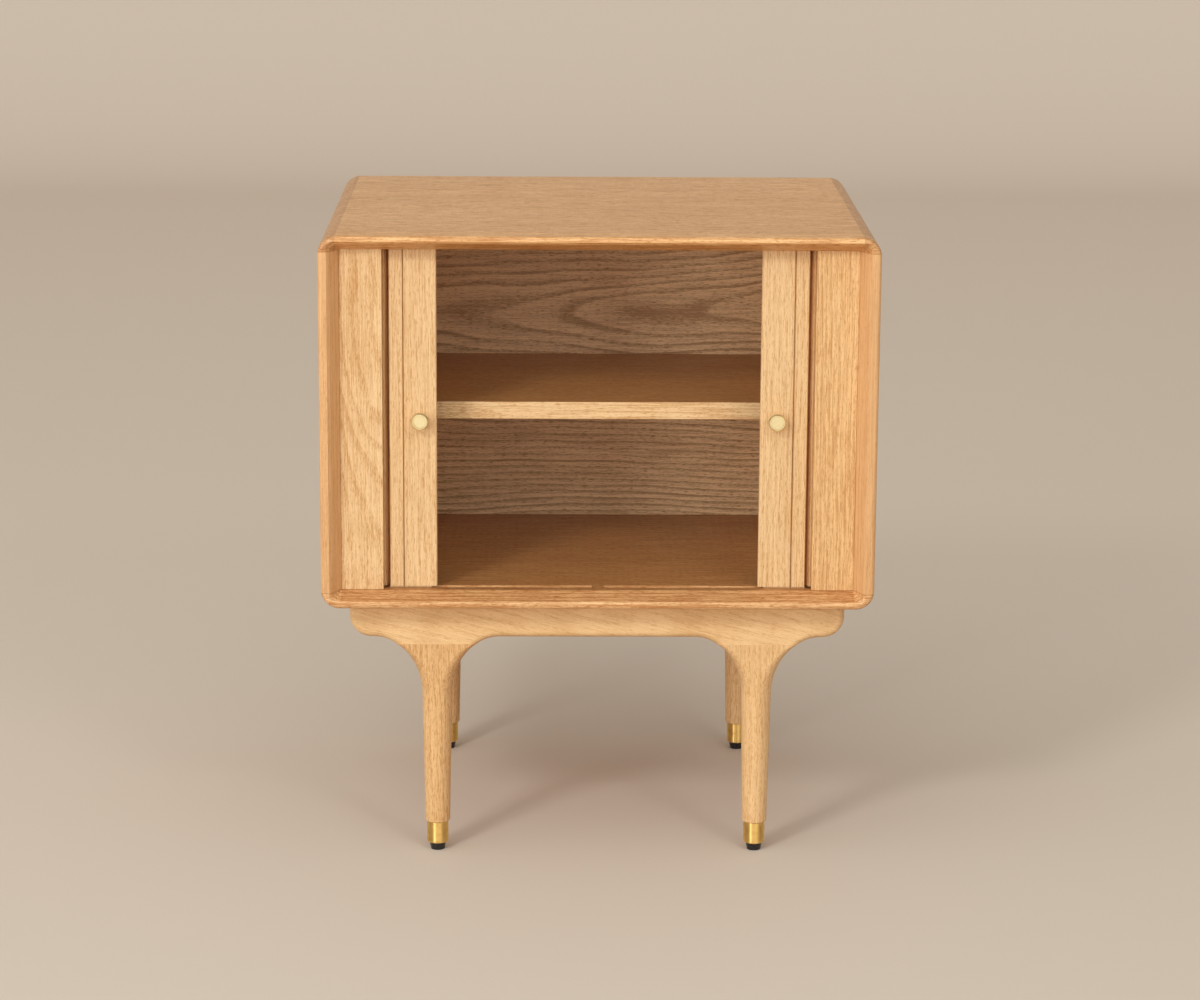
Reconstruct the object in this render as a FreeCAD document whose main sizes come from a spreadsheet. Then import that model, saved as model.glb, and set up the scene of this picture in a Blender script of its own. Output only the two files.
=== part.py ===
# Oak bedside cabinet with two tambour doors, on four turned legs with brass ferrules.
# Millimetres. The origin is the centre of the footprint on the floor, +Z is up, the
# front faces -Y and +X is to the right. The doors are modelled open, which is their rest.
import FreeCAD
import Part
import Sketcher
import math
import os
import re

# Driving sizes. Each one becomes a named cell of the sheet that the model reads.
SIZES = {
    # Case
    "case_width": 500.0,
    "case_depth": 400.0,
    "case_top": 580.0,
    "case_bottom": 240.0,
    "corner_round": 17.0,
    "nose_round": 3.8,
    "mouth_ease": 1.2,
    "rear_round": 2.0,
    "slab_thick": 14.0,
    "side_rim": 9.0,
    "slab_rim": 6.0,
    "mouth_depth": 17.0,
    "mouth_round": 10.5,
    "mouth_round_rear": 0.6,
    "side_thick": 17.8,
    "pocket_wall": 13.5,
    "rebate_wide": 5.5,
    "rear_panel_thick": 8.0,
    # Stiles
    "stile_wide": 38.2,
    "stile_back": 22.0,
    "stile_edge": 9.3,
    "stile_relief_wide": 22.0,
    # Tambour doors
    "stile_gap": 5.3,
    "lead_width": 30.0,
    "slat_pitch": 13.2,
    "slat_thick": 7.0,
    "slat_gap": 0.4,
    "slat_chamfer": 0.8,
    "slat_recess": 8.5,
    "slat_end_gap": 1.3,
    "slat_turn": 30.0,
    "canvas_thick": 0.6,
    "canvas_margin": 5.0,
    "tongue_deep": 5.0,
    "tongue_shoulder": 1.5,
    "tongue_inset": 5.5,
    # Track grooves
    "groove_deep": 6.0,
    "groove_setback": 0.8,
    "groove_wide": 8.0,
    "groove_end": 5.2,
    "groove_bend": 26.0,
    "groove_spare": 4.0,
    # Knobs
    "knob_head_radius": 7.8,
    "knob_head_thick": 5.5,
    "knob_neck_radius": 4.0,
    "knob_neck_long": 6.5,
    "knob_edge": 1.0,
    "knob_dish_radius": 6.0,
    "knob_dish_deep": 0.5,
    "knob_screw_radius": 2.0,
    "knob_screw_head": 4.0,
    "knob_screw_head_thick": 2.0,
    "knob_screw_grip": 6.0,
    # Inner box
    "liner_clear": 8.7,
    "liner_thick": 12.0,
    "liner_front": 86.0,
    "inner_back_gap": 68.0,
    "inner_back_thick": 10.0,
    "shelf_front": 74.0,
    "shelf_rise": 162.6,
    "shelf_thick": 16.0,
    "pin_radius": 2.5,
    "pin_out": 6.0,
    "pin_deep": 9.0,
    "pin_inset": 30.0,
    # Base
    "apron_inset": 24.2,
    "apron_front": 26.0,
    "apron_thick": 32.0,
    "apron_tall": 33.5,
    "apron_end_round": 20.0,
    "apron_edge_round": 6.0,
    "flare_wide": 43.7,
    "flare_tall": 57.0,
    "seam_drop": 6.2,
    "leg_inset": 103.3,
    "leg_top_radius": 13.8,
    "leg_tip_radius": 11.4,
    "leg_tip_ease": 1.0,
    "leg_tenon_radius": 9.0,
    "leg_tenon_long": 22.0,
    "ferrule_radius": 9.8,
    "ferrule_top": 27.4,
    "ferrule_wall": 1.5,
    "ferrule_round": 1.6,
    "foot_radius": 7.6,
    "foot_sole_radius": 6.3,
    "foot_tall": 7.0,
    "foot_stem_radius": 3.0,
    "foot_stem_long": 10.0,
    "rail_thick": 20.0,
    "rail_tall": 26.0,
    # Fasteners
    "case_dowel_radius": 3.0,
    "case_dowel_up": 7.0,
    "case_dowel_down": 15.0,
    "case_dowel_inset": 60.0,
    "rail_dowel_radius": 4.0,
    "rail_dowel_apron": 6.0,
    "rail_dowel_rail": 16.0,
    "rail_dowel_spread": 6.5,
    "back_screw_radius": 1.5,
    "back_screw_head": 3.0,
    "back_screw_head_tall": 2.0,
    "back_screw_long": 20.0,
    "back_screw_inset": 50.0,
    "base_screw_radius": 2.0,
    "base_screw_head": 4.0,
    "base_screw_head_tall": 3.0,
    "base_screw_bite": 7.0,
    "base_screw_grip": 14.0,
    "base_screw_bore": 4.6,
    "base_screw_step": 84.5,
    "base_screw_inset": 110.0,
    "overrun": 5.0,
}

# Counts: the slats that stay in line between the bends, those that follow them, the sections of
# a leg's flared head and the screws on each side of the rear panel.
MIDDLE_SLATS = range(5, 14)
TAIL_SLATS = 3
FLARE_SECTIONS = 7
BACK_SCREWS = 4

# How much of the leg's radius the flat sides of its roundest loft section take.
SECTION_FLAT_SHARE = 0.01

doc = FreeCAD.newDocument("Nightstand")
sheet = doc.addObject("Spreadsheet::Sheet", "Sizes")
for row, (alias, number) in enumerate(SIZES.items(), start=1):
    sheet.set("A%d" % row, alias)
    sheet.set("B%d" % row, repr(number))
    sheet.setAlias("B%d" % row, alias)
doc.recompute()

# Places worked out from the driving sizes, as text that the document evaluates.
FRONT = "(-case_depth / 2)"
REAR = "(case_depth / 2)"
FLOOR = "(case_bottom + slab_thick)"
CEILING = "(case_top - slab_thick)"
CLEAR_HEIGHT = "(case_top - case_bottom - 2 * slab_thick)"
MIDDLE_HEIGHT = "((case_top + case_bottom) / 2)"
POCKET = "(case_width / 2 - pocket_wall)"
STILE_INNER = "(case_width / 2 - side_thick - stile_wide)"
HINGE_X = "(case_width / 2 - side_thick - stile_wide - stile_gap)"
LEAD_EDGE = "(case_width / 2 - side_thick - stile_wide - stile_gap - slat_pitch - lead_width)"
SLAT_SETBACK = "(mouth_depth + slat_recess)"
SLAT_Y = "(-case_depth / 2 + mouth_depth + slat_recess)"
SLAT_Z = "(case_bottom + slab_thick + slat_end_gap)"
SLAT_TALL = "(case_top - case_bottom - 2 * slab_thick - 2 * slat_end_gap)"
CANVAS_Y = "(-case_depth / 2 + mouth_depth + slat_recess + slat_thick)"
BEND_ACROSS = "slat_pitch * (cos(slat_turn * 1 deg) + cos(2 * slat_turn * 1 deg))"
BEND_BACK = "slat_pitch * (sin(slat_turn * 1 deg) + sin(2 * slat_turn * 1 deg))"
RUN_X = HINGE_X + " + " + BEND_ACROSS
RUN_Y = CANVAS_Y + " + " + BEND_BACK
GROOVE_FRONT = "(mouth_depth + slat_recess + groove_setback)"
LINER_OUTER = "(case_width / 2 - side_thick - stile_wide - stile_gap - liner_clear)"
LINER_INNER = "(case_width / 2 - side_thick - stile_wide - stile_gap - liner_clear - liner_thick)"
INNER_BACK = "(case_depth - rear_panel_thick - inner_back_gap - inner_back_thick)"
SHELF_TOP = "(case_bottom + slab_thick + shelf_rise)"
SHELF_BOTTOM = "(case_bottom + slab_thick + shelf_rise - shelf_thick)"
APRON_HALF = "(case_width / 2 - apron_inset)"
APRON_BOTTOM = "(case_bottom - apron_tall)"
SEAM = "(case_bottom - apron_tall - seam_drop)"
LEG_X = "(case_width / 2 - leg_inset)"
LEG_Y = "(-case_depth / 2 + apron_front + apron_thick / 2)"


def size(alias):
    """The number in a cell of the sheet."""
    return float(sheet.get(alias))


def linked(text):
    """Point each size's name in an expression at its cell."""
    def cell(match):
        word = match.group(0)
        return "Sizes." + word if word in SIZES else word
    return re.sub(r"[a-z][a-z_]+", cell, text)


def bind(thing, **expressions):
    """Bind properties to expressions. place=(x, y, z) binds the position."""
    for axis, text in zip("xyz", expressions.pop("place", ())):
        thing.setExpression("Placement.Base." + axis, linked(text))
    for name, text in expressions.items():
        thing.setExpression(name, linked(text))
    return thing


def box(label, place, length, width, height):
    thing = doc.addObject("Part::Box", label)
    return bind(thing, place=place, Length=length, Width=width, Height=height)


def cylinder(label, place, radius, height, along="z"):
    thing = doc.addObject("Part::Cylinder", label)
    turn(thing, along)
    return bind(thing, place=place, Radius=radius, Height=height)


def cone(label, place, first, second, height, along="z"):
    thing = doc.addObject("Part::Cone", label)
    turn(thing, along)
    return bind(thing, place=place, Radius1=first, Radius2=second, Height=height)


def turn(thing, along):
    """Lay a primitive's own Z axis along another axis."""
    axes = {"z": FreeCAD.Vector(0, 0, 1), "y": FreeCAD.Vector(0, 1, 0), "x": FreeCAD.Vector(1, 0, 0)}
    thing.Placement.Rotation = FreeCAD.Rotation(FreeCAD.Vector(0, 0, 1), axes[along])


def joined(label, things):
    thing = doc.addObject("Part::MultiFuse", label)
    thing.Shapes = things
    thing.Refine = True
    return thing


def group(label, things):
    """Several separate solids that make one node."""
    thing = doc.addObject("Part::Compound", label)
    thing.Links = things
    return thing


def cut(label, base, tools):
    thing = doc.addObject("Part::Cut", label)
    thing.Base = base
    thing.Tool = tools[0] if len(tools) == 1 else group(label + "_tools", tools)
    thing.Refine = True
    return thing


def common(label, base, tool):
    thing = doc.addObject("Part::Common", label)
    thing.Base = base
    thing.Tool = tool
    thing.Refine = True
    return thing


def mirrored(label, source, normal=(1, 0, 0)):
    thing = doc.addObject("Part::Mirroring", label)
    thing.Source = source
    thing.Normal = FreeCAD.Vector(*normal)
    return thing


def outline(body, plane, corners):
    """A closed sketch whose corners are bound to the sheet, on one of the body's planes."""
    sketch = body.newObject("Sketcher::SketchObject", body.Name + "_outline")
    planes = {feature.Role: feature for feature in body.Origin.OriginFeatures}
    sketch.AttachmentSupport = (planes[plane], "")
    sketch.MapMode = "FlatFace"
    count = len(corners)
    ring = [2 * math.pi * i / count for i in range(count)]
    points = [FreeCAD.Vector(math.cos(a), math.sin(a), 0) for a in ring]
    for i in range(count):
        sketch.addGeometry(Part.LineSegment(points[i], points[(i + 1) % count]), False)
    for i in range(count):
        sketch.addConstraint(Sketcher.Constraint("Coincident", i, 2, (i + 1) % count, 1))
    for i, (across, up) in enumerate(corners):
        for kind, text, now in (("DistanceX", across, points[i].x), ("DistanceY", up, points[i].y)):
            index = sketch.addConstraint(Sketcher.Constraint(kind, -1, 1, i, 1, now))
            sketch.setExpression("Constraints[%d]" % index, linked(text))
    return sketch


def prism(label, corners, length, place=("0", "0", "0"), plane="XY_Plane"):
    """A body padded from an outline."""
    body = doc.addObject("PartDesign::Body", label)
    sketch = outline(body, plane, corners)
    pad = body.newObject("PartDesign::Pad", label + "_pad")
    pad.Profile = sketch
    bind(pad, Length=length)
    body.Tip = pad
    return bind(body, place=place)


def case_shell():
    """The case as one ring, which is then divided into its four boards."""
    block = doc.addObject("PartDesign::Body", "case_block")
    sketch = outline(block, "XZ_Plane", [
        ("-case_width / 2", "case_bottom"), ("case_width / 2", "case_bottom"),
        ("case_width / 2", "case_top"), ("-case_width / 2", "case_top")])
    pad = block.newObject("PartDesign::Pad", "case_block_pad")
    pad.Profile = sketch
    pad.Midplane = True
    bind(pad, Length="case_depth")
    block.Tip = pad
    doc.recompute()
    rounds = rounded(block, pad, "corner_round", lambda e: e.BoundBox.YLength > size("case_depth") / 2)
    rounds = rounded(block, rounds, "nose_round", lambda e: e.BoundBox.YMax < -size("case_depth") / 4)
    rounded(block, rounds, "rear_round", lambda e: e.BoundBox.YMin > size("case_depth") / 4)
    mouth = doc.addObject("Part::Wedge", "case_mouth")
    bind(mouth, Xmin="-case_width / 2 + side_rim", Xmax="case_width / 2 - side_rim",
         Zmin="case_bottom + slab_rim", Zmax="case_top - slab_rim",
         Ymin="-case_depth / 2", Ymax="-case_depth / 2 + mouth_depth",
         X2min="-case_width / 2 + side_thick", X2max="case_width / 2 - side_thick",
         Z2min=FLOOR, Z2max=CEILING)
    front_room = box("case_front_room", ("-case_width / 2 + side_thick", FRONT + " + mouth_depth", FLOOR),
                     "case_width - 2 * side_thick", "stile_back + overrun", CLEAR_HEIGHT)
    back_room = box("case_back_room", ("-" + POCKET, FRONT + " + mouth_depth + stile_back", FLOOR),
                    "case_width - 2 * pocket_wall", "case_depth", CLEAR_HEIGHT)
    rebate = box("case_rebate", ("-" + POCKET + " - rebate_wide", REAR + " - rear_panel_thick",
                                 FLOOR + " - rebate_wide"),
                 "case_width - 2 * pocket_wall + 2 * rebate_wide", "rear_panel_thick + overrun",
                 CLEAR_HEIGHT + " + 2 * rebate_wide")
    ease = doc.addObject("Part::Wedge", "case_mouth_ease")
    bind(ease, Xmin="-case_width / 2 + side_rim - mouth_ease", Xmax="case_width / 2 - side_rim + mouth_ease",
         Zmin="case_bottom + slab_rim - mouth_ease", Zmax="case_top - slab_rim + mouth_ease",
         Ymin="-case_depth / 2", Ymax="-case_depth / 2 + 2 * mouth_ease",
         X2min="-case_width / 2 + side_rim + mouth_ease", X2max="case_width / 2 - side_rim - mouth_ease",
         Z2min="case_bottom + slab_rim + mouth_ease", Z2max="case_top - slab_rim - mouth_ease")
    doc.recompute()
    mouth = fillet("case_mouth_round", mouth, ("mouth_round", "mouth_round_rear"), mouth_corner)
    ease = fillet("case_mouth_ease_round", ease, ("mouth_round", "mouth_round"), mouth_corner)
    return cut("case_shell", block, [mouth, ease, front_room, back_room, rebate])


def mouth_corner(edge):
    """The four slanted edges of the mouth, which run from the front to the rear."""
    return edge.BoundBox.YLength > size("mouth_ease")


def rounded(body, base, radius, wanted):
    """Round the edges of the base feature that the test picks."""
    names = ["Edge%d" % (i + 1) for i, edge in enumerate(base.Shape.Edges) if wanted(edge)]
    fillet = body.newObject("PartDesign::Fillet", body.Name + "_" + radius)
    fillet.Base = (base, names)
    bind(fillet, Radius=radius)
    body.Tip = fillet
    doc.recompute()
    return fillet


def track():
    """The groove that one door's tongues run in, tall enough to cut both slabs."""
    low = "case_bottom + slab_thick - groove_deep"
    tall = CLEAR_HEIGHT + " + 2 * groove_deep"
    bend_y = FRONT + " + %s + groove_bend" % GROOVE_FRONT
    run_long = "%s + slat_thick + %s + %d * slat_pitch + groove_spare - %s - groove_bend" % (
        SLAT_SETBACK, BEND_BACK, len(MIDDLE_SLATS) + TAIL_SLATS, GROOVE_FRONT)
    front = box("track_front_run", ("groove_end", FRONT + " + " + GROOVE_FRONT, low),
                HINGE_X + " - groove_end", "groove_wide", tall)
    side = box("track_side_run", (HINGE_X + " + groove_bend - groove_wide", bend_y, low),
               "groove_wide", run_long, tall)
    outer = cylinder("track_bend_outer", (HINGE_X, bend_y, low), "groove_bend", tall)
    inner = cylinder("track_bend_inner", (HINGE_X, bend_y, low), "groove_bend - groove_wide", tall)
    quarter = box("track_bend_quarter", (HINGE_X, FRONT + " + " + GROOVE_FRONT, low),
                  "groove_bend", "groove_bend", tall)
    ring = cut("track_bend_ring", outer, [inner])
    right = joined("right_track", [front, side, common("track_bend", ring, quarter)])
    return [right, mirrored("left_track", right)]


def case_dowels():
    """Dowels between the slabs and the sides, with the bores that they fill."""
    pins = []
    bores = []
    inset_x = "(case_width / 2 - pocket_wall / 2)"
    for side, across in (("left", "-" + inset_x), ("right", inset_x)):
        for i, along in enumerate(("-case_depth / 2 + case_dowel_inset", "0",
                                   "case_depth / 2 - case_dowel_inset")):
            for level, low in (("lower", FLOOR + " - case_dowel_up"),
                               ("upper", CEILING + " - case_dowel_down")):
                name = "case_dowel_%s_%s_%d" % (side, level, i)
                deep = "case_dowel_up + case_dowel_down"
                pins.append(cylinder(name, (across, along, low), "case_dowel_radius", deep))
                bores.append(cylinder(name + "_bore", (across, along, low), "case_dowel_radius", deep))
    group("case_dowels", pins)
    return bores


def back_screws():
    """Countersunk screws that hold the rear panel to the side boards."""
    screws = []
    holes = []
    inset_x = "(case_width / 2 - pocket_wall + rebate_wide / 2)"
    for side, across in (("left", "-" + inset_x), ("right", inset_x)):
        for i in range(BACK_SCREWS):
            up = "%s + back_screw_inset + %d * (%s - 2 * back_screw_inset) / %d" % (
                FLOOR, i, CLEAR_HEIGHT, BACK_SCREWS - 1)
            for made, suffix in ((screws, ""), (holes, "_hole")):
                name = "back_screw_%s_%d%s" % (side, i, suffix)
                shank = cylinder(name + "_shank", (across, REAR + " - back_screw_long", up),
                                 "back_screw_radius", "back_screw_long - back_screw_head_tall", "y")
                head = cone(name + "_head", (across, REAR + " - back_screw_head_tall", up),
                            "back_screw_radius", "back_screw_head", "back_screw_head_tall", "y")
                made.append(joined(name, [shank, head]))
    group("back_panel_screws", screws)
    return holes


def base_screws():
    """Screws that go up through the aprons and rails into the bottom board."""
    screws = []
    holes = []
    rail_y = "case_depth / 2 - base_screw_inset"
    apron_x = "(%s - base_screw_step)" % LEG_X
    places = [(a, b) for a in ("-" + LEG_X, LEG_X) for b in ("-(%s)" % rail_y, rail_y)]
    places += [(a, b) for a in ("-" + apron_x, apron_x) for b in (LEG_Y, "-" + LEG_Y)]
    head_z = "case_bottom - base_screw_grip - base_screw_head_tall"
    for i, (across, along) in enumerate(places):
        for made, suffix in ((screws, ""), (holes, "_hole")):
            name = "base_screw_%d%s" % (i, suffix)
            shank = cylinder(name + "_shank", (across, along, "case_bottom - base_screw_grip"),
                             "base_screw_radius", "base_screw_grip + base_screw_bite")
            head = cylinder(name + "_head", (across, along, head_z), "base_screw_head",
                            "base_screw_head_tall")
            made.append(joined(name, [shank, head]))
        holes.append(cylinder("base_screw_%d_bore" % i, (across, along, APRON_BOTTOM + " - overrun"),
                              "base_screw_bore",
                              "apron_tall - base_screw_grip + overrun"))
    group("base_screws", screws)
    return holes


def make_case():
    """Top, bottom, sides and rear panel. Gives back the holes of the base's screws."""
    shell = case_shell()
    tracks = track()
    dowel_bores = case_dowels()
    screw_holes = back_screws()
    base_holes = base_screws()
    wide = "case_width + 2 * overrun"
    deep = "case_depth + 2 * overrun"
    start = ("-case_width / 2 - overrun", FRONT + " - overrun")
    top_zone = box("top_zone", start + (CEILING,), wide, deep, "slab_thick + overrun")
    bottom_zone = box("bottom_zone", start + ("case_bottom - overrun",), wide, deep, "slab_thick + overrun")
    cut("top_panel", common("top_blank", shell, top_zone), tracks + dowel_bores)
    cut("bottom_panel", common("bottom_blank", shell, bottom_zone), tracks + dowel_bores + base_holes)
    for side, across in (("left", "-case_width / 2 - overrun"), ("right", "0")):
        zone = box(side + "_zone", (across, FRONT + " - overrun", FLOOR),
                   "case_width / 2 + overrun", deep, CLEAR_HEIGHT)
        cut(side + "_side_panel", common(side + "_side_blank", shell, zone), dowel_bores + screw_holes)
    blank = box("rear_blank", ("-" + POCKET + " - rebate_wide", REAR + " - rear_panel_thick",
                               FLOOR + " - rebate_wide"),
                "case_width - 2 * pocket_wall + 2 * rebate_wide", "rear_panel_thick",
                CLEAR_HEIGHT + " + 2 * rebate_wide")
    cut("rear_panel", blank, screw_holes)
    return base_holes


def make_stiles():
    """Fixed uprights, relieved behind so that the slats can turn past them."""
    edge = FRONT + " + mouth_depth + stile_edge"
    back = FRONT + " + mouth_depth + stile_back"
    face = FRONT + " + mouth_depth"
    corners = [("-(case_width / 2 - side_thick)", face), ("-" + STILE_INNER, face), ("-" + STILE_INNER, edge),
               ("-(%s + stile_relief_wide)" % STILE_INNER, back), ("-(case_width / 2 - side_thick)", back)]
    left = prism("left_stile", corners, CLEAR_HEIGHT, ("0", "0", FLOOR))
    mirrored("right_stile", left)


def make_inner_box():
    """The box between the two door pockets: liners, inner back, shelf and its pins."""
    pins = []
    bores = []
    for side in (-1, 1):
        for level, along in (("front", FRONT + " + liner_front + pin_inset"),
                             ("rear", FRONT + " + %s - pin_inset" % INNER_BACK)):
            across = LINER_INNER + " - pin_out" if side > 0 else "-" + LINER_INNER + " - pin_deep"
            name = "shelf_pin_%s_%s" % ("right" if side > 0 else "left", level)
            place = (across, along, SHELF_BOTTOM + " - pin_radius")
            pins.append(cylinder(name, place, "pin_radius", "pin_out + pin_deep", "x"))
            bores.append(cylinder(name + "_bore", place, "pin_radius", "pin_out + pin_deep", "x"))
    group("shelf_pins", pins)
    for side, across in (("left", "-" + LINER_OUTER), ("right", LINER_INNER)):
        blank = box(side + "_liner_blank", (across, FRONT + " + liner_front", FLOOR),
                    "liner_thick", INNER_BACK + " - liner_front", CLEAR_HEIGHT)
        cut(side + "_liner", blank, bores)
    box("inner_back_panel", ("-" + LINER_OUTER, FRONT + " + " + INNER_BACK, FLOOR),
        "2 * " + LINER_OUTER, "inner_back_thick", CLEAR_HEIGHT)
    box("shelf", ("-" + LINER_INNER, FRONT + " + shelf_front", SHELF_BOTTOM),
        "2 * " + LINER_INNER, INNER_BACK + " - shelf_front", "shelf_thick")


def slat(label, width, place, turned="0"):
    """One slat standing on its back edge line, which is the canvas hinge line.
    Its own X runs outward along the canvas and its front face looks to -Y."""
    half = "slat_gap / 2"
    far = "%s - slat_gap / 2" % width
    corners = [(half, "0"), (half, "-slat_thick + slat_chamfer"),
               (half + " + slat_chamfer", "-slat_thick"), (far + " - slat_chamfer", "-slat_thick"),
               (far, "-slat_thick + slat_chamfer"), (far, "0")]
    body = prism(label, corners, SLAT_TALL, place)
    body.Placement.Rotation = FreeCAD.Rotation(FreeCAD.Vector(0, 0, 1), 1)
    body.setExpression("Placement.Rotation.Angle", linked(turned))
    return body


def tongues(name, first, wide):
    """Guide tongues at both ends of a slat of the straight run."""
    made = []
    along = SLAT_Y + " + tongue_shoulder"
    reach = "slat_end_gap + tongue_deep"
    for level, low in (("lower", FLOOR + " - tongue_deep"), ("upper", CEILING + " - slat_end_gap")):
        made.append(box("%s_%s_tongue" % (name, level), (first, along, low), wide,
                        "slat_thick - tongue_shoulder", reach))
    return made


def knob_parts(across):
    """The turned knob and the screw that holds it through the lead slat."""
    knob = doc.addObject("PartDesign::Body", "knob_blank")
    tip = "knob_neck_long + knob_head_thick"
    sketch = outline(knob, "XY_Plane", [
        ("0", "0"), ("knob_neck_radius", "0"), ("knob_neck_radius", "-knob_neck_long"),
        ("knob_head_radius - knob_edge", "-knob_neck_long"),
        ("knob_head_radius", "-knob_neck_long - knob_edge"),
        ("knob_head_radius", "-(%s) + knob_edge" % tip),
        ("knob_head_radius - knob_edge", "-(%s)" % tip),
        ("knob_dish_radius", "-(%s)" % tip), ("knob_dish_radius - knob_dish_deep", "-(%s) + knob_dish_deep" % tip),
        ("0", "-(%s) + knob_dish_deep" % tip)])
    turned = knob.newObject("PartDesign::Revolution", "knob_blank_turned")
    turned.Profile = sketch
    turned.ReferenceAxis = (sketch, ["V_Axis"])
    turned.Angle = 360
    knob.Tip = turned
    bind(knob, place=(across, SLAT_Y, MIDDLE_HEIGHT))
    solids = []
    for made in ("right_knob_screw", "right_knob_screw_hole"):
        shank = cylinder(made + "_shank", (across, SLAT_Y + " - knob_screw_grip", MIDDLE_HEIGHT),
                         "knob_screw_radius", "knob_screw_grip + slat_thick - knob_screw_head_thick", "y")
        head = cylinder(made + "_head", (across, CANVAS_Y + " - knob_screw_head_thick", MIDDLE_HEIGHT),
                        "knob_screw_head", "knob_screw_head_thick", "y")
        solids.append(joined(made, [shank, head]))
    return knob, solids[0], solids[1]


def make_door():
    """The right door open, slat by slat along its canvas, and its mirror image."""
    made = []
    lead_back = slat("lead_blank", "lead_width", (LEAD_EDGE, CANVAS_Y, SLAT_Z))
    knob, screw, hole = knob_parts("(%s + lead_width / 2)" % LEAD_EDGE)
    lead = joined("lead_with_tongues", [lead_back] + tongues(
        "lead", LEAD_EDGE + " + tongue_inset", "lead_width - tongue_inset - slat_gap / 2"))
    made.append(cut("right_lead_slat", lead, [hole]))
    made += [cut("right_knob", knob, [hole]), screw]
    second = slat("slat_2_blank", "slat_pitch", (HINGE_X + " - slat_pitch", CANVAS_Y, SLAT_Z))
    made.append(joined("right_slat_2", [second] + tongues(
        "slat_2", HINGE_X + " - slat_pitch + slat_gap / 2", "slat_pitch - slat_gap")))
    made.append(slat("right_slat_3", "slat_pitch", (HINGE_X, CANVAS_Y, SLAT_Z), "slat_turn"))
    fourth = (HINGE_X + " + slat_pitch * cos(slat_turn * 1 deg)",
              CANVAS_Y + " + slat_pitch * sin(slat_turn * 1 deg)", SLAT_Z)
    made.append(slat("right_slat_4", "slat_pitch", fourth, "2 * slat_turn"))
    run = {}
    first = MIDDLE_SLATS.start
    for number in range(first, MIDDLE_SLATS.stop + TAIL_SLATS):
        place = (RUN_X, RUN_Y + " + %d * slat_pitch" % (number - first), SLAT_Z)
        run[number] = slat("right_slat_%d" % number, "slat_pitch", place, "3 * slat_turn")
    made.append(group("right_middle_slats", [run[number] for number in MIDDLE_SLATS]))
    made.append(run[MIDDLE_SLATS.stop])
    made.append(group("right_tail_slats", [run[MIDDLE_SLATS.stop + 1], run[MIDDLE_SLATS.stop + 2]]))
    made.append(canvas("right_canvas_backing", fourth, len(run)))
    for thing in made:
        mirrored(thing.Label.replace("right_", "left_"), thing)


def canvas(label, fourth, count):
    """The cloth glued behind the slats, as flat strips that meet at the bends."""
    high = "(%s - 2 * canvas_margin)" % SLAT_TALL
    low = SLAT_Z + " + canvas_margin"
    start = LEAD_EDGE + " + canvas_margin"
    strips = [box(label + "_front", (start, CANVAS_Y, low), HINGE_X + " - (%s)" % start, "canvas_thick", high)]
    for name, place, turned, long in (
            ("_bend_1", (HINGE_X, CANVAS_Y), "slat_turn", "slat_pitch"),
            ("_bend_2", fourth[:2], "2 * slat_turn", "slat_pitch"),
            ("_run", (RUN_X, RUN_Y), "3 * slat_turn", "%d * slat_pitch" % count)):
        strip = box(label + name, place + (low,), long, "canvas_thick", high)
        strip.Placement.Rotation = FreeCAD.Rotation(FreeCAD.Vector(0, 0, 1), 1)
        strip.setExpression("Placement.Rotation.Angle", linked(turned))
        strips.append(strip)
    return joined(label, strips)


def make_aprons(holes):
    """Long rails with rounded ends, whose lower edge flares down to meet the legs."""
    face = FRONT + " + apron_front"
    bar = box("apron_bar", ("-" + APRON_HALF, face, APRON_BOTTOM), "2 * " + APRON_HALF, "apron_thick",
              "apron_tall")
    blanks = [bar]
    scoops = []
    for side in ("-", ""):
        centre = side + LEG_X
        reach = "(leg_top_radius + flare_wide)"
        blanks.append(box("flare_blank_" + ("left" if side else "right"),
                          ("%s - %s" % (centre, reach), face, SEAM), "2 * " + reach, "apron_thick",
                          "seam_drop + overrun"))
        for way in ("-", "+"):
            name = "flare_scoop_%s_%s" % ("left" if side else "right", "inner" if way == "-" else "outer")
            scoops.append(oval_bar(name, ("%s %s %s" % (centre, way, reach), face + " - overrun",
                                          APRON_BOTTOM + " - flare_tall"),
                                   "flare_tall", "flare_wide", "apron_thick + 2 * overrun"))
    shaped = cut("apron_shaped", joined("apron_blank", blanks), scoops)
    doc.recompute()
    ends = fillet("apron_ends", shaped, ("apron_end_round", "apron_end_round"), end_corner)
    eased = fillet("apron_eased", ends, ("apron_edge_round", "apron_edge_round"), apron_rim)
    tenons = [cylinder("leg_tenon_bore_" + name, (across, LEG_Y, SEAM), "leg_tenon_radius", "leg_tenon_long")
              for name, across in (("left", "-" + LEG_X), ("right", LEG_X))]
    bores = rail_dowels()
    cut("front_apron", eased, tenons + bores + holes)
    mirrored_bar = mirrored("apron_mirrored", eased, (0, 1, 0))
    mirrored_tenons = [mirrored(bore.Name + "_rear", bore, (0, 1, 0)) for bore in tenons]
    cut("rear_apron", mirrored_bar, mirrored_tenons + bores + holes)
    for side, across in (("left", "-" + LEG_X), ("right", LEG_X)):
        blank = box(side + "_rail_blank", (across + " - rail_thick / 2", face + " + apron_thick",
                                           "case_bottom - rail_tall"),
                    "rail_thick", "case_depth - 2 * (apron_front + apron_thick)", "rail_tall")
        cut(side + "_side_rail", blank, bores + holes)


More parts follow.
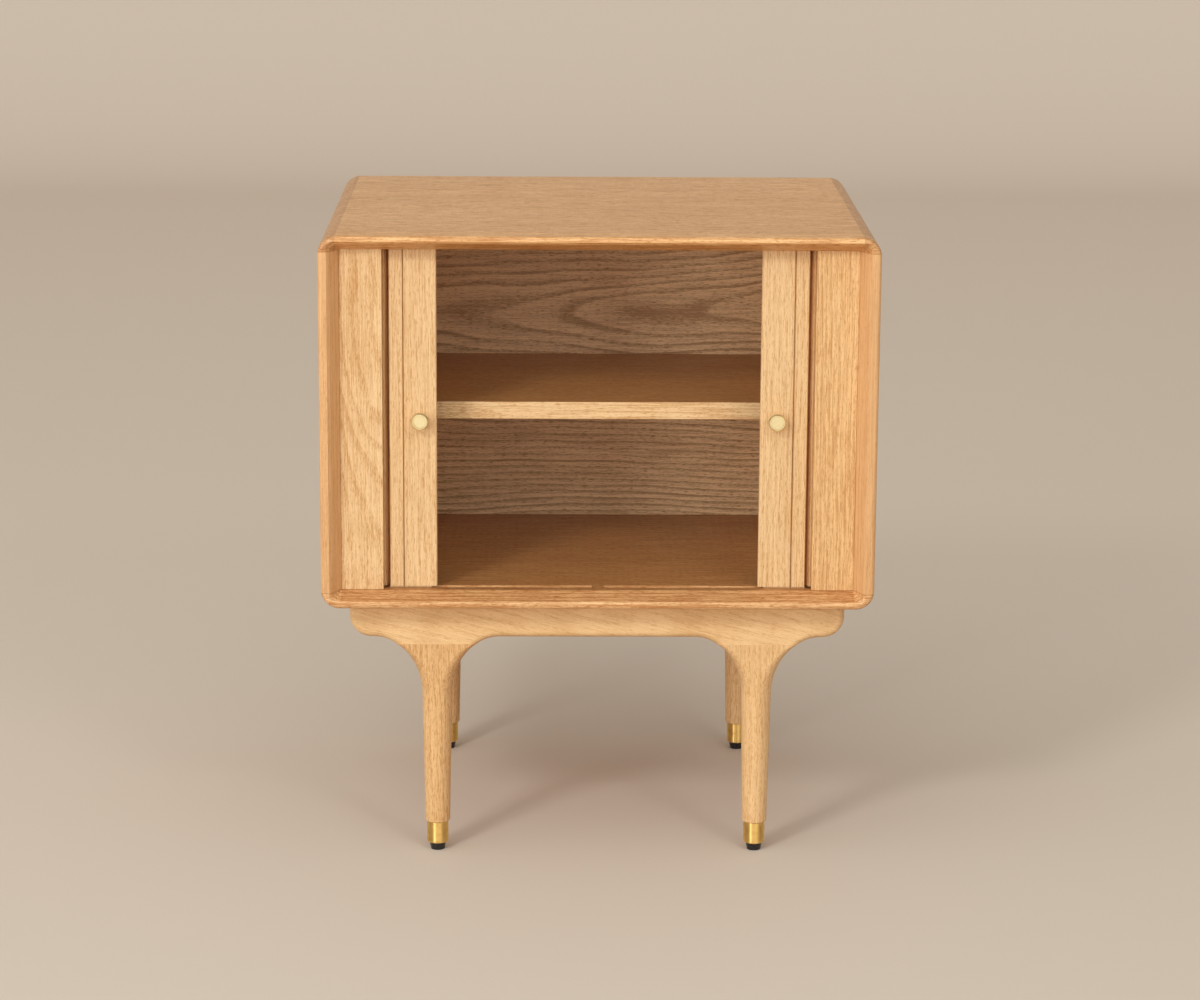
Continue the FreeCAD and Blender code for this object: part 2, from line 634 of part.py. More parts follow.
def oval_bar(label, place, half_tall, half_wide, length):
    """A bar along Y whose section is an upright ellipse."""
    ring = doc.addObject("Part::Ellipse", label + "_ring")
    ring.Placement.Rotation = FreeCAD.Rotation(
        FreeCAD.Vector(0, 0, 1), FreeCAD.Vector(1, 0, 0), FreeCAD.Vector(0, 1, 0))
    bind(ring, place=place, MajorRadius=half_tall, MinorRadius=half_wide)
    bar = doc.addObject("Part::Extrusion", label)
    bar.Base = ring
    bar.DirMode = "Custom"
    bar.Dir = FreeCAD.Vector(0, 1, 0)
    bar.Solid = True
    return bind(bar, LengthFwd=length)


def end_corner(edge):
    """The two lower end corners of the apron, which run from front to back."""
    low = abs(edge.CenterOfMass.z - size("case_bottom") + size("apron_tall")) < size("seam_drop") / 2
    far = abs(edge.CenterOfMass.x) > (
        size("case_width") / 2 - size("apron_inset") - size("apron_end_round") / 2)
    return low and far and edge.BoundBox.YLength > size("apron_thick") / 2


def apron_rim(edge):
    """The edges round the apron's front and back faces, apart from its top and the leg seams."""
    flat = edge.BoundBox.YLength < size("apron_edge_round") / 2
    top = edge.BoundBox.ZMin > size("case_bottom") - size("apron_edge_round") / 2
    seam = edge.BoundBox.ZMax < size("case_bottom") - size("apron_tall") - size("seam_drop") / 2
    return flat and not top and not seam


def fillet(label, base, radii, wanted):
    """Round the chosen edges of a shape, from the first radius at the front to the second at the rear."""
    thing = doc.addObject("Part::Fillet", label)
    thing.Base = base
    edges = []
    for i, edge in enumerate(base.Shape.Edges):
        if wanted(edge):
            ends = [size(radius) for radius in radii]
            if edge.valueAt(edge.FirstParameter).y > edge.valueAt(edge.LastParameter).y:
                ends.reverse()
            edges.append((i + 1, *ends))
    thing.Edges = edges
    doc.recompute()
    return thing


def rail_dowels():
    """Dowels that join the side rails to the aprons, with their bores."""
    pins = []
    bores = []
    joint = "case_depth / 2 - apron_front - apron_thick"
    for side in ("-", ""):
        for way in ("-", ""):
            for step in ("-", "+"):
                name = "rail_dowel_%d" % len(pins)
                low = "case_bottom - rail_tall / 2 %s rail_dowel_spread" % step
                start = "-(%s) - rail_dowel_apron" % joint if way else joint + " - rail_dowel_rail"
                place = (side + LEG_X, start, low)
                long = "rail_dowel_apron + rail_dowel_rail"
                pins.append(cylinder(name, place, "rail_dowel_radius", long, "y"))
                bores.append(cylinder(name + "_bore", place, "rail_dowel_radius", long, "y"))
    group("rail_dowels", pins)
    return bores


def rounded_section(half_wide, half_deep, corner, level):
    """A rounded rectangle as a closed wire of four lines and four arcs."""
    edges = []
    quarter = math.pi / 2
    flat_x = half_wide - corner
    flat_y = half_deep - corner
    centres = [(flat_x, flat_y), (-flat_x, flat_y), (-flat_x, -flat_y), (flat_x, -flat_y)]
    for i, (x, y) in enumerate(centres):
        arc = [FreeCAD.Vector(x + corner * math.cos(quarter * (i + part)),
                              y + corner * math.sin(quarter * (i + part)), level)
               for part in (0, 0.5, 1)]
        next_x, next_y = centres[(i + 1) % 4]
        start = FreeCAD.Vector(next_x + corner * math.cos(quarter * (i + 1)),
                               next_y + corner * math.sin(quarter * (i + 1)), level)
        edges.append(Part.Arc(*arc).toShape())
        edges.append(Part.LineSegment(arc[2], start).toShape())
    return Part.Wire(edges)


def leg_shape():
    """A turned, tapered leg whose head widens into the apron along two concave curves."""
    bottom = size("case_bottom") - size("apron_tall")
    seam = bottom - size("seam_drop")
    foot = bottom - size("flare_tall")
    top_radius = size("leg_top_radius")
    sections = []
    for i in range(FLARE_SECTIONS):
        share = i / (FLARE_SECTIONS - 1)
        level = foot + (seam - foot) * share
        spread = size("flare_wide") * (1 - math.sqrt(1 - ((level - foot) / size("flare_tall")) ** 2))
        half_deep = top_radius + (size("apron_thick") / 2 - top_radius) * share
        round_corner = top_radius * (1 - SECTION_FLAT_SHARE)
        corner = round_corner + (size("apron_edge_round") - round_corner) * share ** 2
        sections.append(rounded_section(top_radius + spread, half_deep, corner, level))
    head = Part.makeLoft(sections, True)
    tip = size("ferrule_top")
    ease = size("leg_tip_ease")
    shaft = Part.makeCone(size("leg_tip_radius"), top_radius, foot - tip - ease, FreeCAD.Vector(0, 0, tip + ease))
    shoulder = Part.makeCone(size("leg_tip_radius") - ease, size("leg_tip_radius"), ease,
                             FreeCAD.Vector(0, 0, tip))
    floor = size("foot_tall") + size("ferrule_wall")
    spigot = Part.makeCylinder(size("ferrule_radius") - size("ferrule_wall"), tip - floor,
                               FreeCAD.Vector(0, 0, floor))
    tenon = Part.makeCylinder(size("leg_tenon_radius"), size("leg_tenon_long"), FreeCAD.Vector(0, 0, seam))
    stem = Part.makeCylinder(size("foot_stem_radius"), size("foot_stem_long"),
                             FreeCAD.Vector(0, 0, size("foot_tall")))
    return head.fuse([shaft, shoulder, spigot, tenon]).removeSplitter().cut(stem)


def make_legs():
    """Four legs, each with its brass ferrule and its glide."""
    shape = leg_shape()
    leg_x = size("case_width") / 2 - size("leg_inset")
    leg_y = abs(-size("case_depth") / 2 + size("apron_front") + size("apron_thick") / 2)
    for depth, way_y in (("front", -1), ("rear", 1)):
        for side, way_x in (("left", -1), ("right", 1)):
            name = "%s_%s" % (depth, side)
            leg = doc.addObject("Part::Feature", name + "_leg")
            leg.Shape = shape
            leg.Placement = FreeCAD.Placement(
                FreeCAD.Vector(way_x * leg_x, way_y * leg_y, 0), FreeCAD.Rotation())
            across = LEG_X if way_x > 0 else "-" + LEG_X
            along = LEG_Y if way_y < 0 else "-" + LEG_Y
            place = (across, along)
            skin = cylinder(name + "_ferrule_skin", place + ("foot_tall",), "ferrule_radius",
                            "ferrule_top - foot_tall")
            doc.recompute()
            skin = fillet(name + "_ferrule_eased", skin, ("ferrule_round", "ferrule_round"), sole_ring)
            room = cylinder(name + "_ferrule_room", place + ("foot_tall + ferrule_wall",),
                            "ferrule_radius - ferrule_wall", "ferrule_top - foot_tall")
            stem_hole = cylinder(name + "_ferrule_hole", place + ("foot_tall - overrun",),
                                 "foot_stem_radius", "ferrule_wall + 2 * overrun")
            cut(name + "_ferrule", skin, [joined(name + "_ferrule_bore", [room, stem_hole])])
            pad = cone(name + "_foot_pad", place + ("0",), "foot_sole_radius", "foot_radius", "foot_tall")
            stem = cylinder(name + "_foot_stem", place + ("0",), "foot_stem_radius",
                            "foot_tall + foot_stem_long")
            joined(name + "_foot_glide", [pad, stem])


def sole_ring(edge):
    """The ring round the lower end of a ferrule."""
    return edge.BoundBox.ZMax < size("foot_tall") + size("ferrule_wall")


def check(nodes):
    """Stop if any object of the document failed or any sub-part is unsound."""
    for thing in doc.Objects:
        if "Invalid" in thing.State or "Error" in thing.State:
            raise RuntimeError("%s failed: %s" % (thing.Label, thing.State))
    for thing in nodes:
        shape = thing.Shape
        if shape.isNull() or not shape.isValid() or not shape.Solids:
            raise RuntimeError("%s has no sound solid" % thing.Label)


NODE_NAMES = ["top_panel", "bottom_panel", "left_side_panel", "right_side_panel", "rear_panel",
              "case_dowels", "back_panel_screws", "left_stile", "right_stile", "left_liner",
              "right_liner", "inner_back_panel", "shelf", "shelf_pins", "front_apron", "rear_apron",
              "left_side_rail", "right_side_rail", "rail_dowels", "base_screws"]
for place in ("front_left", "front_right", "rear_left", "rear_right"):
    NODE_NAMES += [place + "_leg", place + "_ferrule", place + "_foot_glide"]
for side in ("left", "right"):
    NODE_NAMES += [side + "_" + piece for piece in (
        "lead_slat", "slat_2", "knob", "knob_screw", "slat_3", "slat_4", "middle_slats", "slat_14",
        "tail_slats", "canvas_backing")]

base_holes = make_case()
make_stiles()
make_inner_box()
make_door()
make_aprons(base_holes)
make_legs()
doc.recompute()

by_label = {thing.Label: thing for thing in doc.Objects}
nodes = [by_label[name] for name in NODE_NAMES]
check(nodes)
os.makedirs("parts", exist_ok=True)
for node in nodes:
    node.Shape.exportStep("parts/%s.step" % node.Label)
whole = Part.makeCompound([node.Shape for node in nodes])
corner = whole.BoundBox
print("nodes", len(nodes), "size %.1f x %.1f x %.1f" % (corner.XLength, corner.YLength, corner.ZLength))
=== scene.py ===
# %% [markdown]
# # Oak nightstand with two tambour doors
# The real object is a box of oak boards on four turned legs. Two doors made of narrow slats on
# a cloth slide round the inside of the case, and here they stand open. The solid parts come in
# as a fixed frame with their true sizes. This script gives them softened edges, wood, metal,
# rubber and cloth, and sets up the camera and the light.

# %% Load the frame
import math

import bmesh
import bpy
from mathutils import Matrix, Vector


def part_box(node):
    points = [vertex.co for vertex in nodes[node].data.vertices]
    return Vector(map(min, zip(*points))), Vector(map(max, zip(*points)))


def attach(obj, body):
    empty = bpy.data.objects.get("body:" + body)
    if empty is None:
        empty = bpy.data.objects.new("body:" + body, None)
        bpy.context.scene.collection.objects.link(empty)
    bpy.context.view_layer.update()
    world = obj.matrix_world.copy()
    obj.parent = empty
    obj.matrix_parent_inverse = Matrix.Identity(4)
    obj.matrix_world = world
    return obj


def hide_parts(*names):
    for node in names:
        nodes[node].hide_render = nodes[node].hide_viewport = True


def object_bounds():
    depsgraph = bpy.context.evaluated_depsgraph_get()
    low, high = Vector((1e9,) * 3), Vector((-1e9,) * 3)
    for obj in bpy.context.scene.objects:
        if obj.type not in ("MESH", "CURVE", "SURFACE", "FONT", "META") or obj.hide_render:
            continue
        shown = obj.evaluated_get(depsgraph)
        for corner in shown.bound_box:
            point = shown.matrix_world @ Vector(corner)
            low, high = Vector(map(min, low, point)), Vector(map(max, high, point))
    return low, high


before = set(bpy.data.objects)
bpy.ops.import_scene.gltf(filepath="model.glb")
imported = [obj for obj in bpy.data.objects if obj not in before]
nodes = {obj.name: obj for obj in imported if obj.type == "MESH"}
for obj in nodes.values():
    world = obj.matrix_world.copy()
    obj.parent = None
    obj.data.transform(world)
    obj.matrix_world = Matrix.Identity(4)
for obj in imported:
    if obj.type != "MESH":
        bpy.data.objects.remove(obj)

case_low, case_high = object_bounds()
print("parts:", len(nodes), "box:", [round(v, 3) for v in case_high - case_low])

# %% [markdown]
# ## Small helpers
# The materials below are built from nodes, and a node takes four or five lines to make, set and
# link. A few short functions do that in one, so each recipe reads from top to bottom. All of
# them take either a plain value or another node's output, and give back their own output.

# %% Helpers for single nodes
def feed(tree, value, socket):
    """Link an output to a socket, or set the socket to a plain value."""
    if isinstance(value, bpy.types.NodeSocket):
        tree.links.new(value, socket)
    else:
        socket.default_value = value


def math_node(tree, operation, *values, clamp=False):
    node = tree.nodes.new("ShaderNodeMath")
    node.operation = operation
    node.use_clamp = clamp
    for socket, value in zip(node.inputs, values):
        feed(tree, value, socket)
    return node.outputs[0]


def vector_node(tree, operation, first, second):
    """Vector maths. A dot product is a number, and every other result is a vector."""
    node = tree.nodes.new("ShaderNodeVectorMath")
    node.operation = operation
    feed(tree, first, node.inputs[0])
    feed(tree, second, node.inputs[1])
    return node.outputs["Value" if operation == "DOT_PRODUCT" else "Vector"]


def split(tree, vector):
    """The X, Y and Z outputs of a vector."""
    node = tree.nodes.new("ShaderNodeSeparateXYZ")
    tree.links.new(vector, node.inputs[0])
    return node.outputs


def noise(tree, vector, scale, detail=2.0, roughness=0.5):
    """Noise between 0 and 1. The scale is one number, or one for each axis."""
    if isinstance(scale, tuple):
        vector = vector_node(tree, "MULTIPLY", vector, scale)
        scale = 1.0
    node = tree.nodes.new("ShaderNodeTexNoise")
    for label, value in (("Vector", vector), ("Scale", scale), ("Detail", detail),
                         ("Roughness", roughness)):
        feed(tree, value, node.inputs[label])
    return node.outputs["Fac"]


def remap(tree, value, low, high, to_low=0.0, to_high=1.0, smooth=True):
    """Stretch one range of a value to another, and cut off what is outside it."""
    node = tree.nodes.new("ShaderNodeMapRange")
    node.interpolation_type = "SMOOTHSTEP" if smooth else "LINEAR"
    for socket, number in zip(node.inputs, (value, low, high, to_low, to_high)):
        feed(tree, number, socket)
    return node.outputs["Result"]


def blend_numbers(tree, share, first, second):
    node = tree.nodes.new("ShaderNodeMix")
    for label, value in (("Factor", share), ("A", first), ("B", second)):
        feed(tree, value, node.inputs[label])
    return node.outputs["Result"]


def blend_colours(tree, share, first, second, kind="MIX"):
    node = tree.nodes.new("ShaderNodeMix")
    node.data_type = "RGBA"
    node.blend_type = kind
    colours = [socket for socket in node.inputs if socket.type == "RGBA"]
    feed(tree, share, node.inputs[0])
    feed(tree, first, colours[0])
    feed(tree, second, colours[1])
    return next(socket for socket in node.outputs if socket.type == "RGBA")


print("node helpers ready")

# %% [markdown]
# A node group is a recipe that many materials share. The next helpers make an empty group, put a
# group into a material, start a material, and let a height pattern tilt its surface.

# %% Helpers for groups and materials
SOCKET_KINDS = {float: "NodeSocketFloat", tuple: "NodeSocketColor", str: "NodeSocketVector"}


def new_group(name, inputs, outputs):
    """An empty group. Its sockets are given by example: a number, a colour, or "" for a vector."""
    group = bpy.data.node_groups.new(name, "ShaderNodeTree")
    for way, sockets in (("INPUT", inputs), ("OUTPUT", outputs)):
        for label, value in sockets.items():
            socket = group.interface.new_socket(name=label, in_out=way,
                                                socket_type=SOCKET_KINDS[type(value)])
            if way == "INPUT" and value != "":
                socket.default_value = value
    start, end = group.nodes.new("NodeGroupInput"), group.nodes.new("NodeGroupOutput")
    return group, start.outputs, end.inputs


def use_group(tree, group, values):
    """Put a group into a tree and feed its inputs by their names."""
    node = tree.nodes.new("ShaderNodeGroup")
    node.node_tree = group
    for label, value in values.items():
        feed(tree, value, node.inputs[label])
    return node.outputs


def new_material(name):
    """A material with its node tree and the inputs of its shader."""
    material = bpy.data.materials.new(name)
    material.use_nodes = True
    tree = material.node_tree
    return material, tree, tree.nodes["Principled BSDF"].inputs


def own_place(tree):
    """Where a point is on its own object, which way it faces, or a direction in the room."""
    return tree.nodes.new("ShaderNodeTexCoord").outputs


def add_bump(tree, skin, height, strength, distance):
    bump = tree.nodes.new("ShaderNodeBump")
    bump.inputs["Strength"].default_value = strength
    bump.inputs["Distance"].default_value = distance
    tree.links.new(height, bump.inputs["Height"])
    tree.links.new(bump.outputs["Normal"], skin["Normal"])


def dress(node, material):
    """Give a part one material."""
    mesh = nodes[node].data
    mesh.materials.clear()
    mesh.materials.append(material)


print("material helpers ready")

# %% [markdown]
# ## Camera
# The picture looks at the nightstand from in front and a little above, from far away with a
# long lens, so the upright edges stay nearly parallel. A camera can be turned with three
# angles, but it is easier to read as one step after another: step back, look a little to the
# right, look down, then tip it by the fraction of a degree that the picture leans. A small shift
# of the lens moves the nightstand up in the picture without turning the camera.

# %% Camera
LENS_MM = 102.7
SENSOR_MM = 36.0
LENS_SHIFT = -0.06
EYE = Vector((-0.0391, -3.1924, 1.038))
LOOK_RIGHT = 0.0134
LOOK_DOWN = 0.2075
LEAN = 0.006

camera_data = bpy.data.cameras.new("camera")
camera_data.lens = LENS_MM
camera_data.sensor_width = SENSOR_MM
camera_data.shift_y = LENS_SHIFT
camera_data.clip_start = 0.05
camera_data.clip_end = 60.0
camera = bpy.data.objects.new("camera", camera_data)
bpy.context.scene.collection.objects.link(camera)
camera.matrix_world = (Matrix.Translation(EYE) @ Matrix.Rotation(-LOOK_RIGHT, 4, "Z")
                       @ Matrix.Rotation(math.pi / 2 - LOOK_DOWN, 4, "X")
                       @ Matrix.Rotation(LEAN, 4, "Z"))
bpy.context.scene.camera = camera
print("camera height:", round(EYE.z, 3), "distance:", round(-EYE.y, 3))

# %% [markdown]
# ## Light and floor
# A studio lights furniture with large soft boxes. Two stand high in front, one on each side, and
# the left one is stronger. They shine in under the top at a slant, so each open door throws a
# slanting shadow on the inner floor, and the gaps beside the stiles stay dark. A third stands
# low at the left. It lifts the upright faces and leaves the level ones as they are.

# %% Soft boxes
LAMP_DISTANCE = 4.0
# Each lamp's name, its angles to the side and upwards in degrees, its width and its power.
LAMPS = (("left_box", -31.0, 34.0, 0.6, 29.0),
         ("right_box", 28.2, 34.0, 0.6, 10.0),
         ("low_box", -36.0, 8.0, 0.7, 20.0))

middle = Vector((0.0, 0.0, (case_low.z + case_high.z) / 2))
for name, azimuth, height, wide, power in LAMPS:
    lamp_data = bpy.data.lights.new(name, "AREA")
    lamp_data.size = wide
    lamp_data.energy = power
    lamp = bpy.data.objects.new(name, lamp_data)
    bpy.context.scene.collection.objects.link(lamp)
    around, up = math.radians(azimuth), math.radians(height)
    outward = Vector((math.sin(around) * math.cos(up), -math.cos(around) * math.cos(up),
                      math.sin(up)))
    lamp.location = middle + outward * LAMP_DISTANCE
    lamp.rotation_mode = "QUATERNION"
    lamp.rotation_quaternion = outward.to_track_quat("Z", "Y")
print("lamps:", len(LAMPS))

# %% [markdown]
# The room does the rest. It is brightest in front, a little left of the middle, and weak behind,
# and some light comes from overhead, so upright faces get more of it than level ones. For
# mirrored rays the difference is made larger, because metal is only as good as what it mirrors:
# a brass cylinder gets a pale middle and dark edges. The camera itself sees a plain even grey.

# %% The room
ROOM_TINT = (1.0, 0.97, 0.93, 1.0)
BRIGHT_SIDE = (-0.34, -0.94, 0.0)
SEEN_STRENGTH = 0.6
# How far a direction points that way, from and to, and the light at those two ends.
FRONT_LIGHT = (-0.2, 1.0, 0.25, 1.13)
OVERHEAD_LIGHT = (0.3, 1.0, 0.0, 0.35)
MIRRORED_LIGHT = (-0.35, -0.95, 0.08, 1.65)

world = bpy.data.worlds.new("studio")
bpy.context.scene.world = world
world.use_nodes = True
room = world.node_tree
room_light = room.nodes["Background"].inputs
room_light["Color"].default_value = ROOM_TINT
direction = own_place(room)["Generated"]
_, depth, height = split(room, direction)
forward = vector_node(room, "DOT_PRODUCT", direction, BRIGHT_SIDE)
spread_light = math_node(room, "ADD", remap(room, forward, *FRONT_LIGHT),
                         remap(room, height, *OVERHEAD_LIGHT))
mirrored_light = remap(room, depth, *MIRRORED_LIGHT)
ray = room.nodes.new("ShaderNodeLightPath").outputs
strength = blend_numbers(room, ray["Is Glossy Ray"], spread_light, mirrored_light)
strength = blend_numbers(room, ray["Is Camera Ray"], strength, SEEN_STRENGTH)
room.links.new(strength, room_light["Strength"])
print("room nodes:", len(room.nodes))

# %% [markdown]
# The floor is one sheet that curves up far behind, so no line crosses the background. It is made
# by extruding an edge along the curve.

# %% Floor and backdrop
SWEEP_ROUND = 1.0
SWEEP_START = 4.2
SWEEP_REACH = 14.0
SWEEP_TOP = 6.0
SWEEP_STEPS = 12

sweep = bmesh.new()
edge = [sweep.verts.new((x, -SWEEP_REACH, 0.0)) for x in (-SWEEP_REACH, SWEEP_REACH)]
line = [sweep.edges.new(edge)]
path = [(SWEEP_START, 0.0)]
path += [(SWEEP_START + SWEEP_ROUND * math.sin(a), SWEEP_ROUND * (1 - math.cos(a)))
         for a in (math.pi / 2 / SWEEP_STEPS * i for i in range(1, SWEEP_STEPS + 1))]
path.append((SWEEP_START + SWEEP_ROUND, SWEEP_TOP))
for y, z in path:
    new = bmesh.ops.extrude_edge_only(sweep, edges=line)["geom"]
    for vert in (v for v in new if isinstance(v, bmesh.types.BMVert)):
        vert.co = (vert.co.x, y, z)
    line = [e for e in new if isinstance(e, bmesh.types.BMEdge)]
bmesh.ops.recalc_face_normals(sweep, faces=sweep.faces[:])
sweep_mesh = bpy.data.meshes.new("floor")
sweep.to_mesh(sweep_mesh)
sweep.free()
for face in sweep_mesh.polygons:
    face.use_smooth = True
floor = bpy.data.objects.new("floor", sweep_mesh)
bpy.context.scene.collection.objects.link(floor)
print("floor faces:", len(sweep_mesh.polygons))

# %% [markdown]
# The camera and the mirrors see the sheet pale. The light that it throws back on the nightstand
# is that of a brown floor and much weaker, so the undersides stay dark.

# %% Floor material
floor_finish, floor_tree, floor_skin = new_material("pale_floor")
floor_skin["Base Color"].default_value = (0.72, 0.64, 0.54, 1.0)
floor_skin["Roughness"].default_value = 0.6
floor_skin["Specular IOR Level"].default_value = 0.2
bounce = floor_tree.nodes.new("ShaderNodeBsdfDiffuse")
bounce.inputs["Color"].default_value = (0.45, 0.31, 0.20, 1.0)
ray = floor_tree.nodes.new("ShaderNodeLightPath").outputs
seen = math_node(floor_tree, "ADD", ray["Is Camera Ray"], ray["Is Glossy Ray"])
seen = math_node(floor_tree, "ADD", seen, ray["Is Transmission Ray"], clamp=True)
either = floor_tree.nodes.new("ShaderNodeMixShader")
pale = floor_tree.nodes["Principled BSDF"].outputs[0]
for output, socket in zip((seen, bounce.outputs[0], pale), either.inputs):
    floor_tree.links.new(output, socket)
floor_tree.links.new(either.outputs[0], floor_tree.nodes["Material Output"].inputs["Surface"])
floor.data.materials.append(floor_finish)
print("floor finish:", floor_finish.name)

# %% [markdown]
# ## Wood
# Oak is ring-porous: each year's early wood is a band of wide pores, and the late wood after it
# is dense and smooth. A board shows those bands as lines. They lie straight where the saw cut
# near the heart of the log, and make tall arches where it cut the rings at a slant. So the wood
# here is a solid log made of rings round a slightly tilted axis, and each board is cut out of
# it at its own place. That also gives end grain and edges that agree with the faces, which a
# flat picture can't. Three groups of nodes build it: the log, the pores in it, and the board's
# surface, which puts the two together. A fourth tints a part of a board.

# %% [markdown]
# The log's rings are distances from its axis. Slow noise bends them along the grain, as the
# trunk did when it grew, and finer noise makes them ripple. Inside each ring the early wood
# rises fast and fades slowly, which makes a narrow dark line with one sharp side, and the late
# wood comes just before the next ring. Some years are strong and some are faint, and each fades
# here and there along its way. The group puts out how deep in the early wood a point is, which
# the pores use, and how dark and how pale the ring makes it.

# %% The log
# Waves in a metre along and across the grain, how rough they are, and how far they push a ring.
RING_WAVES = (((4.0, 9.0, 9.0), 0.45, 6.0), ((14.0, 70.0, 70.0), 0.5, 0.55))
# Shares of a year, from one ring's start to the next one's.
EARLY_RISE = (0.0, 0.12)
EARLY_FALL = (0.14, 0.58, 1.0, 0.0)
LATE_RISE = (0.62, 0.97)
FAINTEST_YEAR = 0.2
FADE_WAVES = (7.0, 60.0, 60.0)
FADE = (0.35, 0.6, 0.35, 1.0)


def make_log():
    """Growth rings. The grain runs along X, and Tilt leans the log's axis towards Z."""
    tree, given, result = new_group(
        "oak_log",
        {"Grain": "", "Trunk": "", "Ring Width": 0.0035, "Heart Y": 0.0, "Heart Z": 0.06,
         "Tilt": 0.05, "Bend": 0.004},
        {"Early": 0.0, "Shade": 0.0, "Late": 0.0})
    trunk = given["Trunk"]
    length, width, depth = split(tree, given["Grain"])
    across = math_node(tree, "SUBTRACT", width, given["Heart Y"])
    deep = math_node(tree, "SUBTRACT", depth, given["Heart Z"])
    deep = math_node(tree, "ADD", deep, math_node(tree, "MULTIPLY", length, given["Tilt"]))
    radius = math_node(tree, "SQRT", math_node(
        tree, "ADD", math_node(tree, "MULTIPLY", across, across),
        math_node(tree, "MULTIPLY", deep, deep)))
    for waves, roughness, weight in RING_WAVES:
        sway = math_node(tree, "SUBTRACT", noise(tree, trunk, waves, 2.0, roughness), 0.5)
        reach = math_node(tree, "MULTIPLY", given["Bend"], weight)
        radius = math_node(tree, "ADD", radius, math_node(tree, "MULTIPLY", sway, reach))
    turns = math_node(tree, "DIVIDE", radius, given["Ring Width"])
    season = math_node(tree, "FRACT", turns)
    early = math_node(tree, "MULTIPLY", remap(tree, season, *EARLY_RISE),
                      remap(tree, season, *EARLY_FALL))
    late = remap(tree, season, *LATE_RISE)
    chance = tree.nodes.new("ShaderNodeTexWhiteNoise")
    chance.noise_dimensions = "1D"
    tree.links.new(math_node(tree, "FLOOR", turns), chance.inputs["W"])
    strength = remap(tree, chance.outputs["Value"], 0.0, 1.0, FAINTEST_YEAR, 1.0, smooth=False)
    fade = remap(tree, noise(tree, trunk, FADE_WAVES), *FADE)
    strength = math_node(tree, "MULTIPLY", strength, fade)
    tree.links.new(early, result["Early"])
    tree.links.new(math_node(tree, "MULTIPLY", early, strength), result["Shade"])
    tree.links.new(math_node(tree, "MULTIPLY", late, strength), result["Late"])
    return tree


OAK_LOG = make_log()
print("log sockets:", len(OAK_LOG.interface.items_tree))

# %% [markdown]
# Pores are cut vessels. On a face they are short dark dashes, a few tenths of a millimetre wide
# and up to a centimetre long. Noise stretched along the grain and cut off near its top makes
# such dashes. Two sizes of them are mixed, and the early wood gets more. Longer noise of the
# same kind stands for the wood's fibre.

# %% The pores
LONG_PORES = (150.0, 1500.0, 1500.0)
SHORT_PORES = (300.0, 2300.0, 2300.0)
FIBRES = (24.0, 850.0, 850.0)
LATE_LIMIT, EARLY_LIMIT = 0.63, 0.55
LIMIT_DROP = 0.06
SHORT_WEIGHT = 0.7


def make_pores():
    tree, given, result = new_group(
        "oak_pores", {"Grain": "", "Early": 0.5, "Amount": 0.5}, {"Dashes": 0.0, "Fibre": 0.0})
    grain = given["Grain"]
    long = noise(tree, grain, LONG_PORES, 1.0, 0.4)
    short = noise(tree, grain, SHORT_PORES, 1.0, 0.4)
    limit = remap(tree, given["Early"], 0.0, 1.0, LATE_LIMIT, EARLY_LIMIT, smooth=False)
    drop = math_node(tree, "MULTIPLY", given["Amount"], LIMIT_DROP)
    limit = math_node(tree, "SUBTRACT", limit, drop)
    big = remap(tree, math_node(tree, "SUBTRACT", long, limit), 0.0, 0.10)
    small = remap(tree, math_node(tree, "SUBTRACT", short, limit), 0.02, 0.14)
    small = math_node(tree, "MULTIPLY", small, SHORT_WEIGHT)
    tree.links.new(math_node(tree, "MAXIMUM", big, small), result["Dashes"])
    tree.links.new(noise(tree, grain, FIBRES, 3.0, 0.62), result["Fibre"])
    return tree


OAK_PORES = make_pores()
print("pore sockets:", len(OAK_PORES.interface.items_tree))

# %% [markdown]
# The board's group turns the log and the pores into what a lacquered board shows: a colour, how
# matt it is, and how high the surface stands. Everything that darkens or lightens the wood adds
# to one shade between a pale and a dark tone: the rings, the fibre, the dashes, a slow drift
# along the board, and a curl, which is light and dark across the grain. The last sum is cut off
# at full shade. The pores are also lower than the wood round them, and duller, because the
# lacquer sinks in.

# %% The board's surface
SHADE_WEIGHTS = {"ring": 0.75, "fibre": 0.6, "late": -0.25, "drift": 0.18, "dash": 0.85}
DRIFT_WAVES = (3.0, 26.0, 26.0)
CURL_WAVES = (34.0, 9.0, 9.0)
LACQUER_ROUGH, PORE_ROUGH = 0.42, 0.62
PORE_DEPTH, FIBRE_HEIGHT = -0.7, 0.3


